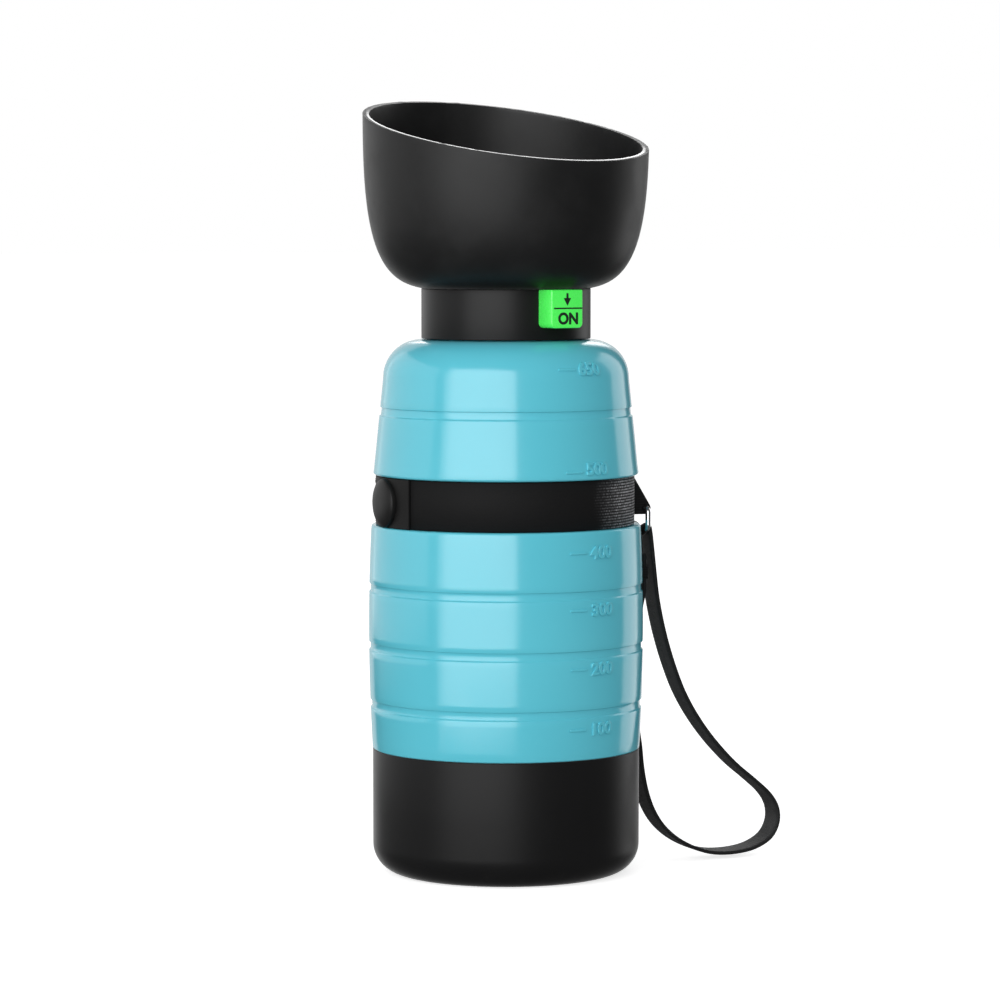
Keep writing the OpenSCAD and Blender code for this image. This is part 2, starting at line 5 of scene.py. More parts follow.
import bmesh
import bpy
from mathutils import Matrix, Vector


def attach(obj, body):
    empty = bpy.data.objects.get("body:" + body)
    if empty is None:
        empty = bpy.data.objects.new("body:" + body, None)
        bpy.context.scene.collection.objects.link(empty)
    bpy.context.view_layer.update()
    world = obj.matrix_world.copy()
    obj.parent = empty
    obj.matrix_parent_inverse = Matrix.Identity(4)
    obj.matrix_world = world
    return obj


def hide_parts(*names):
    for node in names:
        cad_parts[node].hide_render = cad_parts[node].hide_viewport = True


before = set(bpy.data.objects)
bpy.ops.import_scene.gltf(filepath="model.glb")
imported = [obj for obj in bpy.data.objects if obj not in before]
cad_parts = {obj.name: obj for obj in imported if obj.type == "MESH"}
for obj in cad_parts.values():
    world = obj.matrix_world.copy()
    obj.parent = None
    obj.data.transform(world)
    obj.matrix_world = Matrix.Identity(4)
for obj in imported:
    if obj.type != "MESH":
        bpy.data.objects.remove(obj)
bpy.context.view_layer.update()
MM = 0.001

# ---- Camera, as the photograph was taken; angles in degrees, lengths in millimetres ----
CAMERA_AZIMUTH = -34.7
CAMERA_DISTANCE = 1318.0
CAMERA_HEIGHT = 207.0
CAMERA_PITCH = 3.86
CAMERA_LEFT = 0.082  # the camera looks this little past the bottle's middle
FOCAL_LENGTH, SENSOR_W = 150.4, 36.0
NEAREST, FARTHEST = 0.05, 30.0  # limits of its sight, in metres


def at(azimuth, rho, z):
    """Point at an azimuth turned from -Y towards +X, a distance from the axis and a height, all in mm."""
    a = radians(azimuth)
    return Vector((rho * sin(a), -rho * cos(a), z)) * MM


def added(name, data):
    """Puts a new object with this data into the scene."""
    obj = bpy.data.objects.new(name, data)
    bpy.context.scene.collection.objects.link(obj)
    return obj


def set_camera():
    """The only camera, upright but for its pitch."""
    data = bpy.data.cameras.new("camera")
    data.lens, data.sensor_width = FOCAL_LENGTH, SENSOR_W
    data.clip_start, data.clip_end = NEAREST, FARTHEST
    camera = added("camera", data)
    camera.location = at(CAMERA_AZIMUTH, CAMERA_DISTANCE, CAMERA_HEIGHT)
    camera.rotation_euler = [radians(v) for v in
                             (90 - CAMERA_PITCH, 0, CAMERA_AZIMUTH + CAMERA_LEFT)]
    bpy.context.scene.camera = camera


set_camera()

# ---- Sizes in mm: the frame's, but belt, tab and the bowl's rim are up to 0.3 off, as photographed ----
CORE_R, FINE_CORE_R = 0.5, 0.4  # radii of the flat discs that close turned outlines at the axis
# Base cup, and the bottle's spigot that stands in it
BASE_R, BASE_IN_R, BASE_FLOOR, BASE_FILLET, SEAM_Z = 42.2, 40.6, 2.4, 9.5, 39.7
FOOT_RISE, FOOT_IN, FOOT_OUT = 0.9, 6.0, 4.6  # the foot's raised middle, measured in from the fillet's start
SPIGOT_R, SPIGOT_Z, SEAL_Z, LEDGE_IN_R = 39.3, 28.9, 27.4, 36.6
# Bottle: bowed barrel, waist under the belt, tapered upper drum, shoulder and neck
BODY_R, BODY_WIDE_Z, BARREL_BOW, LEDGE_Z, WALL = 43.4, 78.0, 650.0, 110.6, 1.8
WAIST_R, LIP_Z, UPPER_R, EDGE_ROUND = 39.7, 126.3, 41.9, 0.8
SHOULDER_R, SHOULDER_FILLET, SHOULDER_Z, MOUTH_Z = 38.8, 12.0, 168.9, 176.2
NECK_R, NECK_WALL = 23.2, 2.2
GROOVE_D, GROOVE_H, GROOVE_SLOPE, GROOVE_STEP = 0.5, 2.8, 0.4, 0.06
GRIP_Z, GRIP_UPPER_Z = (54.0, 72.3, 90.75), 146.25
PITCH, TURNS, RIDGE_H, RIDGE_FOOT, RIDGE_CREST, RIDGE_SUNK = 3.0, 1.2, 1.0, 1.5, 0.7, 0.3
# Cap with its dry deck, the valve's tower and its outlet cover
CAP_R, CAP_Z, DECK_Z, DRY_Z, TOP_Z, SKIRT_IN_R, DRY_WALL = 26.7, 169.2, 177.6, 179.2, 185.0, 24.5, 2.0
BORE_R, BORE_WALL, BORE_DROP, WINDOW_W, WINDOW_IN = 8.0, 2.5, 3.6, 8.4, 3.5
TOWER_R, TOWER_Z, SEAT_Z, FLANGE_R, FLANGE_Z, FIT = 12.0, 192.8, 194.0, 25.9, 186.8, 0.02
COVER_R, COVER_ROUND, COVER_T, PEG_R, PEG_IN_R, OUTLET_W, OUTLETS = 14.0, 1.5, 1.8, 4.0, 2.5, 5.2, 6
# Bowl: a rounded wall that follows a power curve, its slanted rim, and the ring that clamps its floor
BOWL_R, BOWL_CURVE_H, BOWL_WALL, RIM_H, RIM_SLANT = 45.1, 61.75, 2.0, 49.45, 12.7
BOWL_SUNK, BOWL_POWER, BOWL_ROOT, BOWL_ROWS = 0.75, 3.17, 6.15, 44
HEM_R, RETAINER_R, RETAINER_T, RETAINER_CHAMFER, FLOOR_Z = 17.0, 20.6, 1.6, 0.6, 188.9
RIM_SHINE_AZ = -34.7  # side where the rim's edge is polished
# Push button and the marks on it
BUTTON_W, BUTTON_H, BUTTON_FACE, BUTTON_TOP = 11.8, 11.8, 33.3, TOP_Z - 0.1
BUTTON_LOW_ROUND, BUTTON_TOP_ROUND, BUTTON_FACE_ROUND = 1.5, 0.35, 0.45
INK_T, WORD_H, LETTER_CAP = 0.08, 3.5, 0.73  # a capital is that much of the font's size
# Belt, snap tab and dome
BELT_R, BELT_IN_R, BELT_Z, BELT_W, TAB_R, TAB_IN_R = 40.6, 39.8, 118.4, 15.5, 41.6, 40.7
BELT_OPEN_AZ, BELT_SPAN, SNAP_AZ, TAB_ROOT_AZ, TAB_END_AZ = -109.0, 356.0, -99.7, -124.0, -81.2
# The open ribs' tops are painted as highlights and their gaps as shade.
OPEN_LIT_RIBS_AZ = 52.0  # middle of the stretch where the belt's ribs stand open
THIN_AZ, THIN_SPAN, THIN_BY = -106.0, 8.0, 0.45  # where the tab grows thinner towards its root
DOME_R, DOME_H, DOME_Z, DOME_EDGE = 7.55, 2.4, 118.3, 0.7
# Ring with its webbing loop, hand strap and keeper
RING_AZ, RING_RHO, RING_TOP_Z, RING_LOW_Z, WIRE_R = 77.3, 46.2, 114.6, 106.0, 0.9
RING_HALF_W, RING_CORNER, BOW_R, LOOP_W, LOOP_T = 6.6, 1.4, 9.0, 9.0, 1.0
STRAP_W, STRAP_T, CUP_START, CUP_SPAN = 10.0, 1.2, 14.0, 12.0  # it cups to the ring from so far below
KEEPER_Z, KEEPER_H, KEEPER_T, PLAY = 92.0, 4.0, 0.45, 0.05
# Volume scale: a mark's height, its number, how far the number sits above it, how far both are turned
MARKS = ((49.2, "100", 0.25, 0.0), (68.0, "200", 0.25, 0.0), (86.3, "300", 0.25, 0.0),
         (104.0, "400", 0.25, 0.0), (128.9, "500", 1.1, -0.9), (160.5, "650", 0.25, -2.0))
MARK_AZ, MARK_W, MARK_H, MARK_RISE, MARK_DEPTH, MARK_CUTS = -3.4, 6.0, 0.75, 0.35, 0.6, 5
DIGIT_AZ, DIGIT_H, DIGIT_WIDER, DIGIT_DEPTH = 2.7, 4.1, 1.13, 0.8
# Stitches: length, half thickness, step from one to the next
TAB_STITCH, TAB_STITCH_R, TAB_STITCH_STEP, TAB_SEWN_AZ, TAB_SEAM = 1.25, 0.16, 1.65, (-122.6, -119.2), 6.6
BAND_STITCH, BAND_STITCH_R, BAND_STITCH_STEP, BAND_SEAM = 1.3, 0.15, 1.75, 0.8


# ---- Tools of the workshop ----
def take(*objects):
    """Leaves edit mode and selects these objects, the first one active."""
    if bpy.context.mode != "OBJECT":
        bpy.ops.object.mode_set(mode="OBJECT")
    bpy.ops.object.select_all(action="DESELECT")
    for obj in objects:
        obj.select_set(True)
    if objects:
        bpy.context.view_layer.objects.active = objects[0]


def start(name, primitive, **settings):
    """Adds a primitive with nothing else selected, and applies its place."""
    take()
    primitive(**settings)
    obj = bpy.context.object
    obj.name = obj.data.name = name
    place(obj)
    return obj


def place(obj):
    """Puts the object's place into its mesh."""
    take(obj)
    bpy.ops.object.transform_apply(location=True, rotation=True, scale=True)


def edit(obj):
    """Opens one object in edit mode, all its vertices selected."""
    take(obj)
    bpy.ops.object.mode_set(mode="EDIT")
    bpy.ops.mesh.select_mode(type="VERT")
    bpy.ops.mesh.select_all(action="SELECT")


def choose(obj, kind, test):
    """In edit mode, selects the edges or faces whose middle passes the test."""
    bpy.ops.mesh.select_mode(type=kind)
    bpy.ops.mesh.select_all(action="DESELECT")
    mesh = bmesh.from_edit_mesh(obj.data)
    for part in (mesh.faces if kind == "FACE" else mesh.edges):
        middle = sum((v.co for v in part.verts), Vector()) / len(part.verts)
        if test(middle / MM, part):
            part.select_set(True)
    bmesh.update_edit_mesh(obj.data)


def modify(obj, kind, **settings):
    """Adds a modifier and applies it."""
    take(obj)
    modifier = obj.modifiers.new(kind.lower(), kind)
    for key, value in settings.items():
        setattr(modifier, key, value)
    bpy.ops.object.modifier_apply(modifier=modifier.name)


def soften(obj, width, segments=2, angle=30):
    """Rounds every edge sharper than the angle; width in mm."""
    modify(obj, "BEVEL", width=width * MM, segments=segments, limit_method="ANGLE",
           angle_limit=radians(angle), use_clamp_overlap=True)


def cut(obj, tool):
    """Takes the tool's shape out of the object."""
    modify(obj, "BOOLEAN", operation="DIFFERENCE", object=tool, solver="EXACT")
    bpy.data.objects.remove(tool)


def clean(obj, near=0.002):
    """Merges doubles and turns all faces outwards."""
    edit(obj)
    bpy.ops.mesh.remove_doubles(threshold=near * MM)
    bpy.ops.mesh.normals_make_consistent(inside=False)
    take(obj)


def turn(name, outline, sides, closed=True):
    """A turned piece: a circle drawn on along the outline, which is pairs of radius and height."""
    r, z = outline[0]
    obj = start(name, bpy.ops.mesh.primitive_circle_add, vertices=sides, radius=r * MM,
                location=(0, 0, z * MM))
    edit(obj)
    for r_next, z_next in outline[1:] + (outline[:1] if closed else []):
        bpy.ops.mesh.extrude_region_move(TRANSFORM_OT_translate={"value": (0, 0, (z_next - z) * MM)})
        bpy.ops.transform.resize(value=(r_next / r, r_next / r, 1), center_override=(0, 0, z_next * MM))
        r, z = r_next, z_next
    if not closed:
        bpy.ops.mesh.select_all(action="SELECT")
        bpy.ops.mesh.fill_holes(sides=0)
    clean(obj)
    return obj


def block(name, low, high):
    """A box between two corners, in mm."""
    low, high = Vector(low), Vector(high)
    return start(name, bpy.ops.mesh.primitive_cube_add, size=MM, location=(low + high) * MM / 2,
                 scale=high - low)


def drawn(name, points, **settings):
    """A closed outline through these points, in metres."""
    obj = start(name, bpy.ops.mesh.primitive_circle_add, vertices=len(points), radius=MM, **settings)
    for vertex, point in zip(obj.data.vertices, points):
        vertex.co = point
    return obj


def spun(name, section, azimuth, span, steps):
    """A section of (radius, height) points, drawn at an azimuth and spun round the axis over a span."""
    obj = drawn(name, [at(azimuth, rho, z) for rho, z in section], fill_type="NGON")
    edit(obj)
    bpy.ops.mesh.spin(steps=steps, angle=-radians(span), center=(0, 0, 0), axis=(0, 0, 1))
    clean(obj)
    return obj


def join(*objects):
    """Joins the objects into the first one."""
    take(*objects)
    bpy.ops.object.join()
    return objects[0]


def turned_out(obj, azimuth, z):
    """Lays a piece that stands on +Z at an azimuth, pointing away from the axis at that height."""
    obj.rotation_mode = "XYZ"
    obj.rotation_euler = (0, radians(90), radians(azimuth - 90))
    obj.location = (0, 0, z * MM)
    place(obj)


def finished(obj, body, slot, material, *nodes, angle=35):
    """Shades a finished piece, gives it its material and body, and hides the CAD nodes it stands for. Its
    slot is not used.
    """
    place(obj)
    bpy.ops.object.shade_smooth_by_angle(angle=radians(angle))
    obj.data.materials.clear()
    obj.data.materials.append(material)
    if nodes:
        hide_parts(*nodes)
    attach(obj, body)
    return obj


def arc(cx, cz, r, a0, a1, n):
    """Points of an arc round a centre, from one angle in degrees to another, in n pieces."""
    angles = [radians(a0 + (a1 - a0) * i / n) for i in range(n + 1)]
    return [(cx + r * cos(a), cz + r * sin(a)) for a in angles]


# ---- Materials ----
class Value:
    """A node's output, so that pattern sums are written as plain expressions."""

    def __init__(self, finish, socket):
        self.finish, self.socket = finish, socket

    def math(self, operation, first, second=None):
        inputs = {0: first} if second is None else {0: first, 1: second}
        return self.finish.node("Math", {"operation": operation}, inputs)

    def __add__(self, other):
        return self.math("ADD", self, other)

    def __sub__(self, other):
        return self.math("SUBTRACT", self, other)

    def __rsub__(self, other):
        return self.math("SUBTRACT", other, self)

    def __mul__(self, other):
        return self.math("MULTIPLY", self, other)

    def __truediv__(self, other):
        return self.math("DIVIDE", self, other)

    def __pow__(self, other):
        return self.math("POWER", self, other)

    __radd__, __rmul__ = __add__, __mul__

    def call(self, operation, second=None):
        """Any other Math node."""
        return self.math(operation, self, second)


class Finish:
    """A material: one Principled shader with constants on its sockets, and the patterns before it."""

    def __init__(self, name, **constants):
        self.material = bpy.data.materials.new(name)
        self.material.use_nodes = True
        self.tree = self.material.node_tree
        self.shader = self.tree.nodes["Principled BSDF"]
        for key, value in constants.items():
            self.shader.inputs[key.replace("_", " ")].default_value = value
        place_node = self.tree.nodes.new("ShaderNodeTexCoord")
        self.place = Value(self, place_node.outputs["Object"])
        self.cloth = Value(self, place_node.outputs["UV"])

    def node(self, kind, settings, inputs, output=0):
        """Adds a node: its settings first, then its sockets' values or links. Returns one of its outputs."""
        node = self.tree.nodes.new("ShaderNode" + kind)
        for key, value in settings.items():
            setattr(node, key, value)
        for key, value in inputs.items():
            if isinstance(value, Value):
                self.tree.links.new(value.socket, node.inputs[key])
            else:
                node.inputs[key].default_value = value
        return Value(self, node.outputs[output])

    def noise(self, scale, detail, roughness=0.5, vector=None):
        """Noise from 0 to 1; its scale counts lumps in a metre."""
        inputs = {"Vector": vector or self.place, "Scale": scale, "Detail": detail, "Roughness": roughness}
        return self.node("TexNoise", {}, inputs)

    def bands(self, direction, scale, distortion, detail=2.0):
        """Even bands from 0 to 1."""
        inputs = {"Vector": self.place, "Scale": scale, "Distortion": distortion, "Detail": detail}
        return self.node("TexWave", {"wave_type": "BANDS", "bands_direction": direction}, inputs, 1)

    def parts(self, vector=None):
        """The three coordinates of a vector, in mm."""
        node = self.tree.nodes.new("ShaderNodeSeparateXYZ")
        self.tree.links.new((vector or self.place).socket, node.inputs[0])
        return [Value(self, node.outputs[i]) / MM for i in range(3)]

    def between(self, value, low, high, to_low=0.0, to_high=1.0):
        """A smooth step from one result to the other."""
        inputs = {"Value": value, "From Min": low, "From Max": high, "To Min": to_low, "To Max": to_high}
        return self.node("MapRange", {"interpolation_type": "SMOOTHSTEP"}, inputs)

    def mix(self, mask, first, second):
        """A colour between two colours; each is a Value or three numbers."""
        first, second = [c if isinstance(c, Value) else (*c, 1.0) for c in (first, second)]
        return self.node("Mix", {"data_type": "RGBA"}, {0: mask, 6: first, 7: second}, 2)

    def bump(self, height, distance, strength, normal=None):
        """A relief whose height of 1 stands out by the distance, in mm."""
        inputs = {"Height": height, "Distance": distance * MM, "Strength": strength}
        if normal:
            inputs["Normal"] = normal
        return self.node("Bump", {}, inputs)

    def wear(self, **sockets):
        """Links patterns to the shader's sockets."""
        for key, value in sockets.items():
            self.tree.links.new(value.socket, self.shader.inputs[key.replace("_", " ")])
        return self.material


def blue_plastic():
    """Glossy blue plastic: clouds, orange peel, smears, and scuffs towards its foot."""
    f = Finish("bottle_blue", IOR=1.5, Coat_IOR=1.5, Coat_Roughness=0.06)
    z = f.parts()[2]
    cloud = f.noise(28.0, 3.0)
    peel = f.noise(420.0, 2.0)
    smear = f.between(f.noise(60.0, 4.0, 0.6), 0.45, 0.7)
    scuff = f.between(f.noise(2600.0, 2.0), 0.62, 0.75) * f.between(z, 44.0, 52.0, 1.0, 0.25)
    colour = f.mix(cloud, (0.105, 0.545, 0.675), (0.122, 0.590, 0.715))
    colour = f.mix(scuff * 0.10, colour, (0.34, 0.70, 0.79))
    rough = 0.15 + smear * 0.05 + scuff * 0.06
    return f.wear(Base_Color=colour, Roughness=rough, Normal=f.bump(peel, 0.010, 0.6))


def black_plastic(name, rough, low_scuff, gloss, haze=0.0):
    """Black moulded plastic with a fine spark-eroded grain, a little paler and rougher where it stands."""
    f = Finish(name, Specular_IOR_Level=gloss, Sheen_Weight=haze, Sheen_Roughness=0.25)
    z = f.parts()[2]
    grain = f.noise(5200.0, 2.0)
    cloud = f.noise(45.0, 3.0)
    rub = f.between(f.noise(180.0, 4.0, 0.65), 0.50, 0.72) * f.between(z, 0.5, low_scuff, 1.0, 0.0)
    colour = f.mix(cloud, (0.0075, 0.0075, 0.0078), (0.0105, 0.0105, 0.0108))
    colour = f.mix(rub * 0.4, colour, (0.030, 0.030, 0.030))
    roughness = rough - 0.03 + cloud * 0.06 + rub * 0.15
    return f.wear(Base_Color=colour, Roughness=roughness, Normal=f.bump(grain, 0.010, 0.55))


def bowl_silicone():
    """Matt black silicone with dust and haze; its rim's inner edge is polished on one side."""
    f = Finish("bowl_silicone", Specular_IOR_Level=0.23, Coat_IOR=1.6, Coat_Roughness=0.10,
               Sheen_Weight=0.25, Sheen_Roughness=0.2)
    x, y, z = f.parts()
    slant, shine = radians(RIM_SLANT), radians(RIM_SHINE_AZ)
    rim_level = (TOP_Z + RIM_H) * cos(slant)
    rim = f.between(z * cos(slant) - y * sin(slant), rim_level - 0.9, rim_level - 0.35)
    rim = rim * f.between((x * x + y * y) ** 0.5, BOWL_R - 1.45, BOWL_R - 1.05, 0.75, 0.0)
    rim = rim * f.between(x * sin(shine) - y * cos(shine), -8.0, 12.0, 0.10, 1.0)
    haze = f.between(f.noise(70.0, 5.0, 0.6), 0.40, 0.72)
    dust = f.between(f.noise(3800.0, 1.0), 0.70, 0.78)
    skin = f.noise(2600.0, 2.0)
    colour = f.mix(haze, (0.0090, 0.0091, 0.0094), (0.0120, 0.0121, 0.0124))
    colour = f.mix(dust * 0.35, colour, (0.04, 0.04, 0.04))
    rough = 0.46 + haze * 0.07 + dust * 0.1
    return f.wear(Base_Color=colour, Roughness=rough, Coat_Weight=rim, Normal=f.bump(skin, 0.010, 0.5))


def green_plastic_painted_glow():
    """Bright green plastic with a faint painted glow: its emission stands in for light."""
    # Painted light: the emission makes the button glow as if it were more brightly lit.
    f = Finish("button_green", IOR=1.5, Coat_Weight=0.2, Coat_Roughness=0.1, Emission_Strength=0.24,
               Emission_Color=(0.10, 0.95, 0.14, 1.0))
    cloud = f.noise(160.0, 3.0)
    touch = f.between(f.noise(420.0, 4.0, 0.6), 0.45, 0.7)
    colour = f.mix(cloud, (0.062, 0.840, 0.085), (0.074, 0.880, 0.100))
    return f.wear(Base_Color=colour, Roughness=0.27 + touch * 0.05,
                  Normal=f.bump(f.noise(1500.0, 2.0), 0.002, 0.4))


def black_ink():
    """Dark print, worn in small spots."""
    f = Finish("mark_ink", IOR=1.45)
    worn = f.between(f.noise(2400.0, 3.0, 0.6), 0.56, 0.72)
    colour = f.mix(worn, (0.010, 0.022, 0.014), (0.020, 0.075, 0.030))
    return f.wear(Base_Color=colour, Roughness=0.45 + worn * 0.2)


def swell(value):
    """Rounded humps from 0 to 1, one for each half turn of the value."""
    return value.call("SINE").call("ABSOLUTE")


def weave(along, across, rib, float_length):
    """Height of a woven tape from 0 to 1: ribs along it, each broken into floats set off row by row."""
    row = (across / rib).call("FLOOR")
    yarn = swell(across * (pi / rib)) ** 0.7
    step = swell(along * (pi / float_length) + row * (pi * 0.5)) ** 0.5
    return yarn * (0.62 + step * 0.38)


def belt_webbing():
    """Black webbing: smooth at the front; beside the ring its ribs open, with painted highlights on their
    tops and painted shade between them.
    """
    f = Finish("belt_webbing", Specular_IOR_Level=0.055, Sheen_Weight=0.015, Sheen_Roughness=0.35)
    x, y, z = f.parts()
    along = x.call("ARCTAN2", y * -1.0) * BELT_R
    ribs = weave(along, z - (BELT_Z - BELT_W / 2), 0.88, 1.3)
    fuzz, glint_patches = f.noise(2200.0, 2.0), f.between(f.noise(1300.0, 2.0), 0.35, 0.70)
    away = (along - BELT_R * radians(OPEN_LIT_RIBS_AZ)).call("ABSOLUTE")
    open_lit = f.between(away + f.noise(160.0, 2.0) * 8.0, 14.0, 37.0, 1.0, 0.0)
    height = ribs * (open_lit * 0.95 + 0.05)
    colour = f.mix(fuzz, (0.0085, 0.0085, 0.0087), (0.0115, 0.0115, 0.0119))
    # Painted highlight and shade: where the ribs stand open, their tops are painted pale in glinting patches
    # and their gaps near black.
    painted_rib_light = f.mix(ribs * ribs * ribs * (0.25 + glint_patches * 0.9), (0.0020, 0.0020, 0.0024),
                   (0.5600, 0.5650, 0.5900))
    colour = f.mix(open_lit, colour, painted_rib_light)
    normal = f.bump(fuzz, 0.012, 0.4, f.bump(height, 0.26, 1.0))
    return f.wear(Base_Color=colour, Roughness=0.62 - height * 0.25, Normal=normal)


def plain_webbing():
    """The same webbing where it is folded and pressed smooth, painted darker between its rows as shade."""
    f = Finish("folded_webbing", Specular_IOR_Level=0.15, Sheen_Weight=0.02, Sheen_Roughness=0.35)
    fuzz = f.noise(2400.0, 2.0)
    rows = f.bands("Z", 380.0, 0.6, 1.0)
    # Painted shade: darker between the woven rows, lighter on them.
    colour = f.mix(rows * (0.6 + fuzz * 0.6), (0.0060, 0.0060, 0.0064), (0.0130, 0.0130, 0.0136))
    normal = f.bump(fuzz, 0.02, 0.5, f.bump(rows, 0.04, 0.7))
    return f.wear(Base_Color=colour, Roughness=0.58 + fuzz * 0.08, Normal=normal)


def strap_webbing():
    """Woven strap; its weave lies along it, painted darker in its hollows as shade, and its selvedges are
    smooth.
    """
    f = Finish("strap_webbing", Specular_IOR_Level=0.2, Sheen_Weight=0.03, Sheen_Roughness=0.4)
    along, across = f.parts(f.cloth)[:2]
    rib, float_length = 0.62, 1.1
    height = weave(along, across, rib, float_length)
    picks = swell(along * (pi / float_length))
    fuzz = f.noise(2400.0, 2.0)
    selvedge = f.between(across.call("ABSOLUTE"), STRAP_W / 2 - 0.9, STRAP_W / 2 - 0.5)
    # Painted shade: the weave's hollows are painted darker than its tops; on the selvedges this is evened
    # out.
    colour = f.mix(height * (0.7 + fuzz * 0.6), (0.0060, 0.0060, 0.0065), (0.0260, 0.0262, 0.0270))
    colour = f.mix(selvedge * 0.5, colour, (0.0120, 0.0120, 0.0125))
    normal = f.bump(fuzz, 0.02, 0.5, f.bump(height * 0.7 + picks * 0.3, 0.14, 0.9))
    return f.wear(Base_Color=colour, Roughness=0.68 - height * 0.14, Normal=normal)


def thread_material():
    """Twisted black sewing thread, painted darker in its twist's grooves as shade."""
    f = Finish("stitch_thread", IOR=1.45, Sheen_Weight=0.2)
    twist = f.bands("DIAGONAL", 900.0, 0.5)
    # Painted shade: darker in the twist's grooves, lighter on its strands.
    colour = f.mix(twist, (0.008, 0.008, 0.008), (0.030, 0.030, 0.031))
    return f.wear(Base_Color=colour, Roughness=0.55 + twist * 0.1, Normal=f.bump(twist, 0.03, 0.8))


def rubber(name, shade=0.009, rough=0.52, gloss=0.12):
    """Black rubber with a fine matt skin."""
    f = Finish(name, Specular_IOR_Level=gloss)
    skin, cloud = f.noise(3400.0, 3.0, 0.6), f.noise(120.0, 3.0)
    colour = f.mix(cloud, (shade * 0.85,) * 3, (shade * 1.25,) * 3)
    return f.wear(Base_Color=colour, Roughness=rough + cloud * 0.08, Normal=f.bump(skin, 0.014, 0.6))


def metal(name, colour, low, high):
    """Plated metal with hairline polish marks."""
    f = Finish(name, Metallic=1.0)
    drawn = f.node("Mapping", {}, {"Vector": f.place, "Scale": (1.0, 1.0, 14.0)})
    hair = f.noise(900.0, 3.0, vector=drawn)
    tarnish = f.between(f.noise(500.0, 4.0, 0.6), 0.5, 0.75)
    base = f.mix(tarnish * 0.35, colour, tuple(c * 0.72 for c in colour))
    return f.wear(Base_Color=base, Roughness=low + hair * (high - low), Normal=f.bump(hair, 0.004, 0.5))


def pale_seal(name, first, second, rough):
    """Milky silicone or natural plastic of the inner parts."""
    f = Finish(name, IOR=1.43, Subsurface_Weight=0.2, Subsurface_Radius=(1.0, 0.9, 0.8),
               Subsurface_Scale=0.001)
    cloud, skin = f.noise(140.0, 4.0, 0.6), f.noise(2800.0, 2.0)
    return f.wear(Base_Color=f.mix(cloud, first, second), Roughness=rough + cloud * 0.1,
                  Normal=f.bump(skin, 0.008, 0.5))


BLUE = blue_plastic()
BASE_BLACK = black_plastic("base_black", 0.40, 6.0, 0.115, 0.5)
CAP_BLACK = black_plastic("cap_black", 0.38, 0.6, 0.15)
SILICONE = bowl_silicone()
GREEN = green_plastic_painted_glow()
INK = black_ink()
BELT_CLOTH = belt_webbing()
FOLDED_CLOTH = plain_webbing()
STRAP_CLOTH = strap_webbing()
THREAD = thread_material()
TAB_RUBBER = rubber("tab_rubber")
SEAL_RUBBER = rubber("seal_rubber", 0.016, 0.42, 0.3)
SNAP_BLACK = rubber("snap_lacquer", 0.010, 0.40, 0.15)
CHROME = metal("ring_chrome", (0.80, 0.81, 0.83), 0.05, 0.16)
NICKEL = metal("snap_nickel", (0.66, 0.64, 0.60), 0.16, 0.32)
CLEAR = pale_seal("clear_silicone", (0.62, 0.63, 0.60), (0.72, 0.73, 0.70), 0.34)
WHITE = pale_seal("valve_white", (0.70, 0.71, 0.70), (0.78, 0.79, 0.78), 0.30)

# ---- Hand strap, a flat cord ----
STRAP_LINE = (  # distance out from the bottle's widest radius, height
    (1.3, 88), (1.3, 94), (1.25, 100), (1, 106), (1.53, 107.27), (2.8, 107.8), (4.07, 107.27), (4.6, 106),
    (5.3, 101), (6.2, 94), (7.2, 86), (8.8, 78), (10.8, 70.5), (13.3, 63), (16.6, 55), (21.2, 47), (27.2, 39),
    (34.6, 31.2), (42.1, 25), (47.2, 20.4), (50, 15.8), (50.2, 10.8), (47.6, 6.2), (42.1, 3.2), (35.1, 2),
    (27.6, 2.2), (21.1, 4), (14.6, 7.4), (9.4, 12), (5.8, 17.6), (3.5, 24), (2.1, 31), (1.35, 38), (0.35, 46),
    (0.6, 60), (0.9, 73), (1.35, 82), (2.55, 88), (2.55, 94), (2.55, 99))
STRAP_ROUTE = [(BODY_R + out, z) for out, z in STRAP_LINE]
RING_ACROSS = Vector((cos(radians(RING_AZ)), sin(radians(RING_AZ)), 0))
CUP_R = BOW_R - WIRE_R - STRAP_T / 2
SECTION = (  # upper half of the webbing's section: across in widths, up in thicknesses
    (-0.5, 0.0), (-0.488, 0.34), (-0.455, 0.48), (-0.36, 0.5), (-0.24, 0.5), (-0.12, 0.5), (0.0, 0.5),
    (0.12, 0.5), (0.24, 0.5), (0.36, 0.5), (0.455, 0.48), (0.488, 0.34), (0.5, 0.0))


def smooth_route(points, pieces):
    """A Catmull-Rom curve through the points, in that many pieces a span."""
    ends = [tuple(2 * a - b for a, b in zip(points[0], points[1]))]
    ends += list(points) + [tuple(2 * a - b for a, b in zip(points[-1], points[-2]))]
    line = []
    for p, q, r, s in zip(ends, ends[1:], ends[2:], ends[3:]):
        for k in range(pieces):
            t = k / pieces
            line.append(tuple(0.5 * (2 * b + (c - a) * t + (2 * a - 5 * b + 4 * c - d) * t * t
                                     + (3 * b - a - 3 * c + d) * t ** 3) for a, b, c, d in zip(p, q, r, s)))
    return line + [points[-1]]


